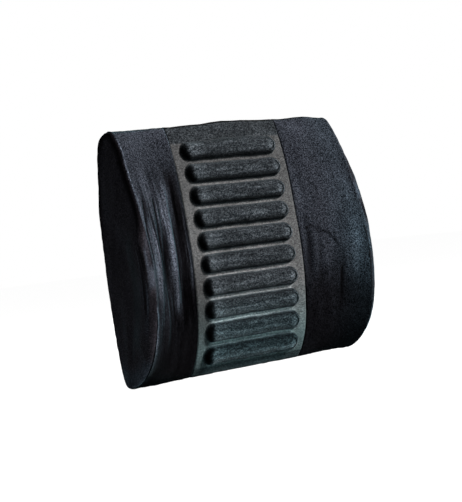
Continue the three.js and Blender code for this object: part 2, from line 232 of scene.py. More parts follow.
def ridge(x, z, line, width, height, taper):
    """A soft fold along a polyline: height at its crest, fading across width and at both ends."""
    line = np.asarray(line, float)
    best = np.full(x.shape, 1e9)
    along = np.zeros(x.shape)
    run = 0.0
    for start, end in zip(line[:-1], line[1:]):
        dx, dz = end - start
        length = np.hypot(dx, dz)
        from_x, from_z = x - start[0], z - start[1]
        t = np.clip((from_x * dx + from_z * dz) / (length * length), 0, 1)
        distance = np.hypot(from_x - t * dx, from_z - t * dz)
        near = distance < best
        best = np.where(near, distance, best)
        along = np.where(near, run + t * length, along)
        run += length
    return height * ease(0, taper, along) * ease(0, taper, run - along) * bell(best, 0, width)


# ------------------------------------------------------------------ meshes


def normals(points, facing):
    """Unit normals of a grid of points, turned to face -Y (facing -1) or +Y (facing 1)."""
    normal = np.cross(np.gradient(points, axis=1), np.gradient(points, axis=0))
    normal = normal / np.maximum(np.linalg.norm(normal, axis=-1, keepdims=True), 1e-9)
    middle = normal[points.shape[0] // 2, points.shape[1] // 2, 1]
    return normal * (facing * np.sign(middle))


def quads(index, wrap=False, turned=False):
    """Faces over a grid of vertex indices; wrap joins the last column to the first."""
    if wrap:
        index = np.c_[index, index[:, :1]]
    corners = [index[:-1, :-1], index[:-1, 1:], index[1:, 1:], index[1:, :-1]]
    if turned:
        corners = [corners[i] for i in (0, 3, 2, 1)]
    return [tuple(face) for face in np.stack(corners, -1).reshape(-1, 4)]


def fan(ring, tip, turned=False):
    """Triangles from each side of a ring of vertices to a tip."""
    return [(b, a, tip) if turned else (a, b, tip) for a, b in zip(ring, np.roll(ring, -1))]


def bridge(first, second):
    """Triangles between two strings of vertices of different lengths that run the same way."""
    faces, i, j = [], 0, 0
    last_i, last_j = len(first) - 1, len(second) - 1
    while i < last_i or j < last_j:
        if j == last_j or (i < last_i and (i + 1) / last_i <= (j + 1) / last_j):
            faces.append((first[i], first[i + 1], second[j]))
            i += 1
        else:
            faces.append((first[i], second[j + 1], second[j]))
            j += 1
    return faces


def paint(obj, material):
    obj.data.materials.clear()
    obj.data.materials.append(material)


def link_object(name, data):
    obj = bpy.data.objects.new(name, data)
    bpy.context.scene.collection.objects.link(obj)
    return obj


def add_mesh(name, points, faces, slot, material, replaces=None, attrs=None):
    """A smooth mesh object from points in millimetres. Its faces are turned to point out.

    attrs gives values for the first vertices; the rest are zero."""
    points = np.asarray(points, float).reshape(-1, 3) * MM
    triangles = np.array([(f[0], f[i], f[i + 1]) for f in faces for i in range(1, len(f) - 1)])
    a, b, c = (points[triangles[:, i]] for i in range(3))
    if np.einsum("ij,ij->i", a, np.cross(b, c)).sum() < 0:
        faces = [tuple(reversed(f)) for f in faces]
    mesh = bpy.data.meshes.new(name)
    mesh.from_pydata(points.tolist(), [], [tuple(int(i) for i in f) for f in faces])
    mesh.update()
    mesh.polygons.foreach_set("use_smooth", [True] * len(mesh.polygons))
    for key, values in (attrs or {}).items():
        full = np.zeros(len(mesh.vertices), np.float32)
        full[: values.size] = values.ravel()
        mesh.attributes.new(key, "FLOAT", "POINT").data.foreach_set("value", full)
    obj = link_object(name, mesh)
    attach(obj, "cushion")
    if replaces:
        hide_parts(replaces)
    paint(obj, material)


def shell(name, outer, inner, slot, material, **extras):
    """A closed sheet: fine outer grid, inner one with as many rows, and the rim between them."""
    outer_ids = np.arange(outer[..., 0].size).reshape(outer.shape[:2])
    inner_ids = outer_ids.size + np.arange(inner[..., 0].size).reshape(inner.shape[:2])
    faces = quads(outer_ids) + quads(inner_ids, turned=True)
    faces += quads(np.c_[outer_ids[:, 0], inner_ids[:, 0]], turned=True)
    faces += quads(np.c_[outer_ids[:, -1], inner_ids[:, -1]])
    faces += [tuple(reversed(f)) for f in bridge(outer_ids[0], inner_ids[0])]
    faces += bridge(outer_ids[-1], inner_ids[-1])
    points = np.concatenate([outer.reshape(-1, 3), inner.reshape(-1, 3)])
    add_mesh(name, points, faces, slot, material, **extras)


def pick_columns(grid, count):
    return grid[:, np.unique(np.round(np.linspace(0, grid.shape[1] - 1, count)).astype(int))]


# ------------------------------------------------------------------ the shape of the slack cover

# folds of the plush panels, by side: a line of (x, z), its width and its height
FOLDS = {
    -1: [
        ([(-166, 100), (-164.6, 67), (-164.3, 46), (-167, 27), (-171, 12)], 7.0, 1.3),
        ([(-164.4, 78), (-168, 52), (-171.5, 32), (-172.2, 0), (-173, -18)], 1.7, -1.0),
        ([(-144, 84), (-145, 45), (-147.6, 26), (-150, 3), (-152, -16)], 2.0, -1.0),
        ([(-154, 60), (-155, 30), (-156, -2), (-161, -33), (-163, -70)], 5.0, 1.5),
        ([(-134, 72), (-136.4, 35), (-141.5, -7), (-146.7, -57)], 4.6, -2.3),
        ([(-121, 92), (-124, 58), (-124.6, 30), (-124.8, -3), (-126.3, -36), (-126.7, -74)],
         5.2, 2.6),
        ([(-110.5, 36), (-109.7, 9), (-108.8, -38), (-103, -92)], 8.0, -1.3),
        ([(-98.7, 40), (-96.5, 4), (-94.5, -44)], 2.2, 0.7),
        ([(-139.5, 56), (-139.6, 26), (-143, -4)], 1.8, 0.7),
        ([(-154, -30), (-151.2, -57), (-150.6, -80), (-150.1, -118)], 4.5, 1.0),
    ],
    1: [
        ([(89, 29), (96, 24.5), (104, 20), (112, 17)], 3.4, 0.7),
        ([(104.5, 22), (101.9, 2.8), (99.4, -21), (97.4, -56)], 3.2, -1.8),
        ([(112, 14), (108, -12), (106.5, -34), (106, -60)], 4.5, 1.3),
        ([(88, 23.6), (96.7, 18.5), (103.3, 15.2), (111.8, 11.4), (126.2, 0.8), (136.9, -11.9),
          (142.2, -25.1), (144.6, -34)], 2.0, -0.8),
        ([(106, 32), (118, 17), (133, 8), (143, -4), (150, -20)], 4.5, 0.5),
        ([(144.6, -28), (140.2, -47.7), (138.6, -74.5), (138.8, -100)], 2.3, -1.0),
        ([(163, 4), (157.5, -28), (154, -52), (152, -84)], 6.0, 1.5),
        ([(124, -14), (121, -46), (118, -84)], 7.0, 1.0),
    ],
}
FOLD_TAPER = 26


def fold_height(x, z):
    height = np.zeros(x.shape)
    for side, folds in FOLDS.items():
        if (x * side > PANEL_X - 1).any():
            for line, width, crest in folds:
                height += ridge(x, z, line, width, crest, FOLD_TAPER)
    return height


def puff(z, side):
    """Where an end panel swells out in a roll beside its front seam."""
    if side > 0:
        return ease(112, 66, z) * (1 - 0.65 * ease(20, -20, z)) * ease(-150, -100, z)
    return ease(58, 8, z) * ease(-148, -96, z)


def end_dome(distance, y, z, side):
    """How far an end panel stands beyond the seam plane at a distance in from its seam."""
    full = puff(z, side) * ease(-22, -46, y)
    radius = 3.4 + (8.6 if side > 0 else 7.4) * full
    roll = radius * np.sqrt(1 - (1 - np.clip(distance / radius, 0, 1)) ** 2)
    # beyond the roll the panel settles to 4 mm over the next 34
    return -0.2 + roll + (4.2 - radius) * ease(0, 1, (distance - radius) / 34)


# how far the slack top and bottom edges rise along the width: x stations, then dz at each
TOP_X = [-178, -158, -142, -126, -109, -93, -77, -60, -44, -28, -11,
         5, 21, 38, 54, 70, 87, 103, 119, 136, 152, 168, 178]
TOP_DZ = [-1.9, -1.8, -2.0, -1.2, -0.1, 0.1, -0.6, 0.5, 1.2, 1.2, 2.4,
          3.2, 2.9, 3.0, 2.2, 1.7, 1.6, 0.8, 1.2, 1.7, 1.1, -1.2, -2.0]
BOTTOM_X = [-178, -162, -146, -130, -113, -97, -65, -32, 0, 60, 97, 130, 162, 178]
BOTTOM_DZ = [-2.0, -3.0, -3.0, -2.5, -2.2, -1.8, -1.4, -1.0, -0.8, -0.7, -0.4, 0.4, 1.2, 1.0]
# how far the top corner of the left end moves in y: z stations, then dy at each
CORNER_Z = [96, 113, 125, 141, 156]
CORNER_DY = [0, -2.0, -5.4, -7.6, -7.4]


def hang(points):
    """Points moved by the rise and sag of the top and bottom edges."""
    x, y, z = np.moveaxis(points, -1, 0)
    dz = np.interp(x, TOP_X, TOP_DZ) * ease(96, 150, z)
    dz = dz + np.interp(x, BOTTOM_X, BOTTOM_DZ) * ease(-96, -150, z)
    # the corner at the top of the left end stands forward, and slopes down towards the back
    dz = dz - 4.6 * ease(-26, -9, y) * ease(112, 150, z) * ease(-130, -178, x)
    dy = np.interp(z, CORNER_Z, CORNER_DY) * ease(-112, -178, x) * ease(-14, -26, y)
    return np.stack([x, y + dy, z + dz], -1)


# ------------------------------------------------------------------ the cover, settled as cloth


def ring_sizes(count):
    """Sizes of an end panel's rings, from 1 at the seam to 0 at the middle."""
    return 1 - np.linspace(0, 1, count) ** 1.35


CAGE_X = np.r_[np.linspace(-SEAM_X, -PANEL_X, 27), np.linspace(-PANEL_X, PANEL_X, 31)[1:-1],
               np.linspace(PANEL_X, SEAM_X, 27)]
CAGE_FRONT = np.linspace(0, FRONT_LEN, 69)
CAGE_BACK = np.linspace(0, BACK_LEN, 55)
CAGE_RINGS = ring_sizes(15)
CLOTH_FRAMES = 20
MOST_SHIFT = 5.0


def build_cage():
    """Points and faces of the closed cage, and the vertex indices of its panels.

    ends holds for each side the rings, the last of them all at the tip, and the (y, z) outline."""
    x, down = np.meshgrid(CAGE_X, CAGE_FRONT)
    front = front_point(x, down)
    front = front + normals(front, -1) * fold_height(x, front[..., 2])[..., None]
    back = back_point(*np.meshgrid(CAGE_X, CAGE_BACK[1:-1]))
    front_ids = np.arange(x.size).reshape(x.shape)
    inner_back = x.size + np.arange(back[..., 0].size).reshape(back.shape[:2])
    back_ids = np.concatenate([front_ids[-1:], inner_back, front_ids[:1]])
    points = np.concatenate([front.reshape(-1, 3), back.reshape(-1, 3)])
    faces = quads(front_ids) + quads(back_ids)
    ends = {}
    for side, column in ((-1, 0), (1, -1)):
        seam = np.r_[front_ids[:, column], inner_back[:, column]]
        outline = points[seam][:, 1:]
        rings = [seam]
        for size in CAGE_RINGS[1:-1]:
            flat = END_CENTRE + size * (outline - END_CENTRE)
            dome = end_dome(nearest(flat, outline), flat[:, 0], flat[:, 1], side)
            rings.append(len(points) + np.arange(len(seam)))
            points = np.concatenate([points, np.column_stack([side * (SEAM_X + dome), flat])])
        tip = len(points)
        points = np.concatenate([points, [[side * (SEAM_X + 4.0), *END_CENTRE]]])
        rings = np.array(rings)
        faces += quads(rings, wrap=True) + fan(rings[-1], tip)
        ends[side] = np.vstack([rings, np.full(len(seam), tip)]), outline
    return points, faces, front_ids, back_ids, ends


def cage_weights(points, front_ids, back_ids):
    """How firmly each point is held, and how much slack its cloth has."""
    width = np.broadcast_to(np.abs(CAGE_X), front_ids.shape)
    # the ribbed panel is moulded and hardly moves
    front_hold = np.where(width > PANEL_X, 0.10, 0.75)
    seam = np.minimum(np.abs(width - PANEL_X), np.abs(width - SEAM_X)) < 0.5
    front_hold[seam] = 1.0
    front_hold[[0, -1]] = 1.0
    inner_back = back_ids[1:-1]
    z = points[inner_back][..., 2]
    back_hold = np.full(z.shape, 0.35)
    back_hold[np.abs(z - STRAP_Z) < 24] = 0.9
    back_hold[np.abs(z - ZIP_Z) < 14] = 1.0
    back_hold[:, [0, -1]] = 1.0
    hold = np.full(len(points), 0.30)
    hold[front_ids] = front_hold
    hold[inner_back] = back_hold
    slack = np.zeros(len(points))
    slack[front_ids] = width > PANEL_X + 0.5
    slack[inner_back] = 0.3
    return hold, slack


def add_cage(points, faces, hold, slack):
    mesh = bpy.data.meshes.new("cover_cage")
    mesh.from_pydata((points * MM).tolist(), [], [tuple(int(i) for i in f) for f in faces])
    work = bmesh.new()
    work.from_mesh(mesh)
    bmesh.ops.recalc_face_normals(work, faces=work.faces)
    work.to_mesh(mesh)
    work.free()
    mesh.update()
    cage = link_object("cover_cage", mesh)
    for name, weights in (("held", hold), ("slack", slack)):
        group = cage.vertex_groups.new(name=name)
        for i, weight in enumerate(weights):
            group.add([i], float(weight), "REPLACE")
    modifier = cage.modifiers.new("cloth", "CLOTH")
    cloth = modifier.settings
    cloth.quality = 6
    cloth.vertex_group_mass = "held"
    cloth.pin_stiffness = 1.0
    cloth.use_pressure = True
    cloth.uniform_pressure_force = 4.0
    cloth.vertex_group_shrink = "slack"
    cloth.shrink_min = 0.0
    cloth.shrink_max = -0.022
    cloth.tension_stiffness = 15
    cloth.compression_stiffness = 15
    cloth.shear_stiffness = 5
    cloth.bending_stiffness = 0.3
    cloth.effector_weights.gravity = 0
    modifier.collision_settings.use_collision = False
    modifier.point_cache.frame_start = 1
    modifier.point_cache.frame_end = CLOTH_FRAMES
    return cage


def run_cloth(cage, points):
    """How far each point of the cage has moved at the last frame, eased to a limit."""
    scene = bpy.context.scene
    for i in range(1, CLOTH_FRAMES + 1):
        scene.frame_set(i)
    settled = cage.evaluated_get(bpy.context.evaluated_depsgraph_get()).to_mesh()
    end = np.empty(points.size)
    settled.vertices.foreach_get("co", end)
    shift = end.reshape(-1, 3) / MM - points
    size = np.linalg.norm(shift, axis=1)
    shift *= (MOST_SHIFT * np.tanh(size / MOST_SHIFT) / np.maximum(size, 1e-9))[:, None]
    scene.frame_set(1)
    bpy.data.objects.remove(cage)
    return shift


def settle_cover():
    """The shift of the front and back grids, and of each end's rings with its outline."""
    points, faces, front_ids, back_ids, ends = build_cage()
    shift = np.zeros_like(points)
    cage = add_cage(points, faces, *cage_weights(points, front_ids, back_ids))
    shift = run_cloth(cage, points)
    # take out the steps of the cage itself
    for ids in (front_ids, back_ids):
        grid = shift[ids]
        grid[1:-1] = (grid[:-2] + 2 * grid[1:-1] + grid[2:]) / 4
        grid[:, 1:-1] = (grid[:, :-2] + 2 * grid[:, 1:-1] + grid[:, 2:]) / 4
        shift[ids] = grid
    end_shifts = {side: (shift[rings], outline) for side, (rings, outline) in ends.items()}
    return shift[front_ids], shift[back_ids], end_shifts


def cubic(position, count, wrap=False):
    """Weights of a smooth curve through count values, at fractional positions."""
    cell = np.clip(np.floor(position).astype(int), 0, count - (1 if wrap else 2))
    t = position - cell
    weights = (-0.5 * t + t ** 2 - 0.5 * t ** 3, 1 - 2.5 * t ** 2 + 1.5 * t ** 3,
               0.5 * t + 2 * t ** 2 - 1.5 * t ** 3, -0.5 * t ** 2 + 0.5 * t ** 3)
    matrix = np.zeros((len(position), count))
    for k, weight in enumerate(weights):
        column = cell + k - 1
        column = column % count if wrap else np.clip(column, 0, count - 1)
        np.add.at(matrix, (np.arange(len(position)), column), weight)
    return matrix


def upsample(grid, rows, columns, wrap=False):
    part = np.tensordot(cubic(rows, grid.shape[0]), grid, 1)
    return np.einsum("cj,rjk->rck", cubic(columns, grid.shape[1], wrap), part, optimize=True)


FRONT_SHIFT, BACK_SHIFT, END_SHIFT = settle_cover()

# a surface: its points, which way it faces along Y, its settled shift and the shift's rows
FRONT_SURFACE = (front_point, -1, FRONT_SHIFT, CAGE_FRONT)
BACK_SURFACE = (back_point, 1, BACK_SHIFT, CAGE_BACK)


def lay_sheet(surface, columns, runs):
    """Grids over a surface: x, run, points, normals and settled shift."""
    point_at, facing, shift, cage_runs = surface
    x, run = np.meshgrid(columns, runs)
    base = point_at(x, run)
    shift = upsample(shift, np.interp(runs, cage_runs, np.arange(len(cage_runs))),
                     np.interp(columns, CAGE_X, np.arange(len(CAGE_X))))
    return x, run, base, normals(base, facing), shift


# ------------------------------------------------------------------ materials (in metres)


class Nodes:
    """Small helper for node trees: each call adds a node, sets its inputs and returns an output."""

    def __init__(self, owner, output="ShaderNodeOutputMaterial"):
        owner.use_nodes = True
        self.owner = owner
        self.tree = owner.node_tree
        self.tree.nodes.clear()
        self.output = self.tree.nodes.new(output)

    def add(self, kind, inputs=None, **props):
        """The one call that returns the node itself."""
        node = self.tree.nodes.new(kind)
        for key, value in props.items():
            setattr(node, key, value)
        for key, value in (inputs or {}).items():
            if isinstance(value, bpy.types.NodeSocket):
                self.tree.links.new(value, node.inputs[key])
            else:
                node.inputs[key].default_value = value
        return node

    def coords(self, stretch=(1, 1, 1)):
        place = self.add("ShaderNodeTexCoord").outputs["Object"]
        mapping = self.add("ShaderNodeMapping", {"Vector": place, "Scale": stretch})
        return mapping.outputs["Vector"]

    def position(self):
        """The outputs X, Y and Z of the object's coordinates."""
        return self.add("ShaderNodeSeparateXYZ", {"Vector": self.coords()}).outputs

    def noise(self, scale, detail=3, rough=0.6, stretch=(1, 1, 1)):
        inputs = {"Vector": self.coords(stretch), "Scale": scale, "Detail": detail}
        return self.add("ShaderNodeTexNoise", {**inputs, "Roughness": rough}).outputs["Fac"]

    def ramp(self, fac, *stops):
        """Colours along fac, from stops of (position, rgb)."""
        node = self.add("ShaderNodeValToRGB", {"Fac": fac})
        elements = node.color_ramp.elements
        while len(elements) < len(stops):
            elements.new(0.5)
        for element, (position, rgb) in zip(elements, stops):
            element.position = position
            element.color = (*rgb, 1)
        return node.outputs["Color"]

    def mix(self, fac, a, b, blend="MIX"):
        a, b = (v if isinstance(v, bpy.types.NodeSocket) else (*v, 1) for v in (a, b))
        # 6, 7 and output 2 are the node's colour sockets
        node = self.add("ShaderNodeMix", data_type="RGBA", blend_type=blend,
                        inputs={0: fac, 6: a, 7: b})
        return node.outputs[2]

    def stain(self, fac, colour, tint):
        """Colour multiplied by a tint where fac is high; used for painted teal bounce light."""
        return self.mix(fac, colour, self.mix(1.0, colour, tint, blend="MULTIPLY"))

    def math(self, operation, a, b=0.0, clamp=False):
        inputs = {0: a, 1: b, 2: 0.0}
        node = self.add("ShaderNodeMath", inputs, operation=operation, use_clamp=clamp)
        return node.outputs[0]

    def plus(self, a, b, clamp=False):
        return self.math("ADD", a, b, clamp)

    def minus(self, a, b):
        return self.math("SUBTRACT", a, b)

    def times(self, a, b, clamp=False):
        return self.math("MULTIPLY", a, b, clamp)

    def exp(self, power):
        return self.math("POWER", 2.718, power)

    def scale(self, colour, fac):
        inputs = {0: colour, "Scale": fac}
        return self.add("ShaderNodeVectorMath", inputs, operation="SCALE").outputs[0]

    def contrast(self, value, gain):
        return self.plus(self.times(self.minus(value, 0.5), gain), 0.5, clamp=True)

    def threads(self, coordinate, pitch):
        """A sine wave along a coordinate."""
        return self.math("SINE", self.times(coordinate, 2 * math.pi / pitch))

    def bump(self, height, distance, strength):
        inputs = {"Height": height, "Distance": distance, "Strength": strength}
        return self.add("ShaderNodeBump", inputs).outputs["Normal"]

    def attribute(self, name):
        return self.add("ShaderNodeAttribute", attribute_name=name).outputs["Fac"]

    def pile(self, clump_scale, grain_share, crisp, stretch=(1, 1, 1)):
        """Cut pile: its light and dark tufts, and its height."""
        grain = self.noise(950, detail=2, rough=0.85)
        clump = self.noise(clump_scale, rough=0.85, stretch=stretch)
        nap = self.plus(self.times(grain, grain_share), self.times(clump, 1 - grain_share))
        height = self.plus(self.times(grain, 0.6), self.times(clump, 0.9))
        return self.contrast(nap, crisp), height

    def surface(self, shader):
        self.tree.links.new(shader, self.output.inputs["Surface"])
        return self.owner

    def principled(self, **inputs):
        inputs = {key.replace("_", " "): value for key, value in inputs.items()}
        return self.surface(self.add("ShaderNodeBsdfPrincipled", inputs).outputs[0])


def material_nodes(name):
    return Nodes(bpy.data.materials.new(name))


def velour_material(name, crisp, red, patchiness, cool_shift, cool_gain):
    """Cut pile. Its tone attribute is the log of a gain on its colour: painted light and shade, with
    the nap's own streaks.

    Tones raised by cool_shift and multiplied by cool_gain pick the cool colours over the warm, so
    the painted lit parts come out cooler."""
    mat = material_nodes(name)
    nap, height = mat.pile(clump_scale=610, grain_share=0.5, crisp=crisp)
    patch = mat.noise(30, stretch=(1, 1, 0.4))
    warm = mat.ramp(nap, (0.0, (0.0024 * red, 0.0022, 0.0027)),
                    (0.5, (0.0128 * red, 0.0120, 0.0146)), (1.0, (0.059 * red, 0.055, 0.067)))
    cool = mat.ramp(nap, (0.0, (0.0020, 0.0023, 0.0030)), (0.5, (0.0105, 0.0115, 0.0150)),
                    (1.0, (0.052, 0.057, 0.072)))
    tone = mat.plus(mat.attribute("painted_light_and_nap"), mat.times(mat.minus(patch, 0.5), patchiness))
    lit = mat.times(mat.plus(tone, cool_shift), cool_gain, clamp=True)
    gain = mat.exp(tone)
    # painted teal bounce light: seen edge-on, and low down at the right end, the pile is tinted a
    # cold green blue
    facing = mat.add("ShaderNodeLayerWeight", {"Blend": 0.5}).outputs["Facing"]
    rim = mat.ramp(facing, (0.50, (0, 0, 0)), (0.86, (1, 1, 1)))
    place = mat.position()
    right = mat.times(mat.minus(place["X"], 0.126), 26.0, clamp=True)
    under = mat.times(mat.minus(0.080, place["Z"]), 12.0, clamp=True)
    end = mat.times(mat.times(right, mat.plus(0.35, mat.times(under, 0.65))), 0.65)
    edge = mat.math("MAXIMUM", rim, end)
    colour = mat.stain(edge, mat.mix(lit, warm, cool), (0.74, 1.12, 1.14))
    sheen_tint = mat.mix(lit, (0.48, 0.45, 0.50), (0.38, 0.50, 0.57))
    return mat.principled(
        Base_Color=mat.scale(colour, gain), Roughness=0.95, Specular_IOR_Level=0.0,
        Sheen_Weight=mat.times(0.22, gain, clamp=True), Sheen_Roughness=0.35,
        Sheen_Tint=mat.mix(edge, sheen_tint, (0.30, 0.55, 0.58)),
        Normal=mat.bump(height, distance=0.0007, strength=0.8))


def rib_material():
    """The pile on the ribs; between them the press has left a paler, smoother cloth."""
    mat = material_nodes("rib_cloth")
    nap, height = mat.pile(clump_scale=560, grain_share=0.45, crisp=4.8, stretch=(0.55, 1, 1))
    patch = mat.noise(40, stretch=(0.3, 1, 1))
    press = mat.attribute("press")
    painted_light_and_nap = mat.attribute("painted_light_and_nap")
    plush = mat.ramp(nap, (0.0, (0.0018, 0.0022, 0.0027)), (0.5, (0.0110, 0.0128, 0.0150)),
                     (1.0, (0.062, 0.069, 0.077)))
    flat = mat.ramp(nap, (0.0, (0.030, 0.030, 0.031)), (0.5, (0.090, 0.089, 0.091)),
                    (1.0, (0.190, 0.189, 0.192)))
    # patches show less on the pressed cloth
    patch = mat.times(mat.times(mat.minus(patch, 0.5), 1.2),
                      mat.minus(1.0, mat.times(press, 0.7)))
    colour = mat.scale(mat.mix(press, plush, flat), mat.exp(mat.plus(painted_light_and_nap, patch)))
    # painted teal bounce light, low on the panel
    foot = mat.times(mat.minus(-0.050, mat.position()["Z"]), 14.0, clamp=True)
    sheen = mat.times(mat.minus(0.22, mat.times(press, 0.10)), mat.exp(painted_light_and_nap), clamp=True)
    strength = mat.minus(0.8, mat.times(press, 0.5))
    return mat.principled(
        Base_Color=mat.stain(foot, colour, (0.74, 1.08, 1.10)), Roughness=0.9,
        Specular_IOR_Level=mat.times(press, 0.1), Sheen_Weight=sheen, Sheen_Roughness=0.4,
        Sheen_Tint=(0.5, 0.6, 0.64, 1),
        Normal=mat.bump(height, distance=0.0008, strength=strength))


def back_material():
    mat = material_nodes("back_cloth")
    place = mat.position()
    weave = mat.times(mat.threads(place["X"], pitch=0.0011), mat.threads(place["Z"], pitch=0.0011))
    fuzz = mat.noise(900, detail=2, rough=0.7)
    patch = mat.noise(22)
    mixed = mat.plus(mat.plus(mat.times(weave, 0.10), 0.2),
                     mat.plus(mat.times(fuzz, 0.45), mat.times(patch, 0.16)))
    colour = mat.ramp(mixed, (0.30, (0.006, 0.0065, 0.008)), (0.52, (0.015, 0.016, 0.019)),
                      (0.75, (0.034, 0.036, 0.042)))
    height = mat.plus(mat.times(weave, 0.5), fuzz)
    return mat.principled(
        Base_Color=colour, Roughness=0.9, Specular_IOR_Level=0.2, Sheen_Weight=0.25,
        Sheen_Roughness=0.5, Sheen_Tint=(0.5, 0.53, 0.6, 1),
        Normal=mat.bump(height, distance=0.0003, strength=0.6))


def elastic_material():
    mat = material_nodes("woven_elastic")
    pick = mat.threads(mat.position()["X"], pitch=0.0009)
    fuzz = mat.noise(1100, detail=2, rough=0.7)
    cord = mat.attribute("cord")
    mixed = mat.plus(mat.times(pick, 0.12), mat.plus(mat.times(fuzz, 0.5), mat.times(cord, 0.3)))
    colour = mat.ramp(mixed, (0.15, (0.004, 0.0042, 0.005)), (0.45, (0.014, 0.0145, 0.017)),
                      (0.8, (0.045, 0.047, 0.054)))
    return mat.principled(
        Base_Color=colour, Roughness=0.7, Specular_IOR_Level=0.35, Sheen_Weight=0.2,
        Sheen_Roughness=0.4,
        Normal=mat.bump(mat.plus(pick, fuzz), distance=0.00012, strength=0.7))


def tape_material():
    mat = material_nodes("zip_tape_cloth")
    place = mat.position()
    twill = mat.plus(mat.threads(place["X"], pitch=0.0008), mat.threads(place["Z"], pitch=0.0007))
    fuzz = mat.noise(1200, detail=2, rough=0.7)
    mixed = mat.plus(mat.times(twill, 0.1), mat.times(fuzz, 0.8))
    colour = mat.ramp(mixed, (0.2, (0.004, 0.0042, 0.005)), (0.7, (0.028, 0.029, 0.034)))
    return mat.principled(
        Base_Color=colour, Roughness=0.75, Specular_IOR_Level=0.3,
        Normal=mat.bump(twill, distance=0.00015, strength=0.6))


def nylon_material():
    mat = material_nodes("zip_nylon")
    cloud = mat.noise(260)
    colour = mat.ramp(cloud, (0.3, (0.008, 0.0085, 0.010)), (0.75, (0.022, 0.023, 0.027)))
    return mat.principled(
        Base_Color=colour, Roughness=mat.plus(0.28, mat.times(cloud, 0.2)), Specular_IOR_Level=0.5,
        Normal=mat.bump(mat.noise(1500, detail=2), distance=0.00003, strength=0.5))


def metal_material():
    """Black plating, worn through in places on its sharp edges."""
    mat = material_nodes("black_zinc")
    edges = mat.add("ShaderNodeNewGeometry").outputs["Pointiness"]
    worn = mat.ramp(edges, (0.50, (0, 0, 0)), (0.58, (1, 1, 1)))
    scratch = mat.noise(420, detail=4, rough=0.7)
    wear = mat.times(worn, mat.math("GREATER_THAN", scratch, 0.62))
    return mat.principled(
        Base_Color=mat.mix(wear, (0.018, 0.018, 0.02), (0.22, 0.22, 0.225)),
        Metallic=mat.plus(0.55, mat.times(wear, 0.4)),
        Roughness=mat.plus(0.34, mat.times(scratch, 0.12)), Specular_IOR_Level=0.5,
        Normal=mat.bump(scratch, distance=0.00001, strength=0.25))


def thread_material():
    mat = material_nodes("sewing_thread")
    fibres = mat.noise(2600, detail=2)
    colour = mat.ramp(fibres, (0.3, (0.012, 0.0125, 0.015)), (0.7, (0.045, 0.047, 0.055)))
    return mat.principled(
        Base_Color=colour, Roughness=0.6, Specular_IOR_Level=0.4,
        Normal=mat.bump(fibres, distance=0.00005, strength=0.6))


def foam_material():
    mat = material_nodes("moulded_foam")
    inputs = {"Vector": mat.coords(), "Scale": 900.0}
    cells = mat.add("ShaderNodeTexVoronoi", inputs, feature="F1").outputs["Distance"]
    mixed = mat.plus(mat.times(cells, 0.35), mat.times(mat.noise(40), 0.6))
    colour = mat.ramp(mixed, (0.2, (0.42, 0.36, 0.22)), (0.5, (0.62, 0.56, 0.38)),
                      (0.8, (0.74, 0.69, 0.52)))
    return mat.principled(
        Base_Color=colour, Roughness=0.95, Specular_IOR_Level=0.15, Subsurface_Weight=0.0,
        Normal=mat.bump(cells, distance=0.0004, strength=0.7))


def scrim_material():
    mat = material_nodes("scrim")
    fibres = mat.noise(500, detail=4, rough=0.8, stretch=(1, 1, 0.25))
    colour = mat.ramp(fibres, (0.3, (0.16, 0.16, 0.165)), (0.7, (0.36, 0.36, 0.37)))
    return mat.principled(
        Base_Color=colour, Roughness=0.9, Specular_IOR_Level=0.2,
        Normal=mat.bump(fibres, distance=0.0002, strength=0.6))


VELOUR = velour_material("plush_velour", crisp=7.2, red=1.0, patchiness=1.1,
                         cool_shift=2.3, cool_gain=0.7)
RIB_CLOTH = rib_material()
BACK_CLOTH = back_material()
VELOUR_END = velour_material("plush_velour_end", crisp=2.6, red=1.06, patchiness=0.6,
                             cool_shift=-0.1, cool_gain=1.5)
ELASTIC = elastic_material()
TAPE = tape_material()
NYLON = nylon_material()
METAL = metal_material()
THREAD = thread_material()
FOAM = foam_material()
SCRIM = scrim_material()

# ------------------------------------------------------------------ the plush side panels

# Painted light and shade on the plush panels, with the nap's own streaks, as the natural log of a
# gain on the colour.
# painted shade down each panel, darker towards the bottom, by side: z stations, then the tone at
# each
PAINTED_SHADE_BASE = {
    -1: ([-150, -120, -95, -60, -20, 40, 80, 120, 150],
         [-2.2, -2.3, -2.2, -1.7, -1.0, -0.85, -0.7, -0.1, 0.12]),
    1: ([-150, -120, -95, -60, -48, -28, 0, 40, 80, 130, 150],
        [-1.6, -1.95, -1.9, -1.6, -1.25, -0.85, -0.45, -0.15, -0.05, -0.25, -0.1]),
}
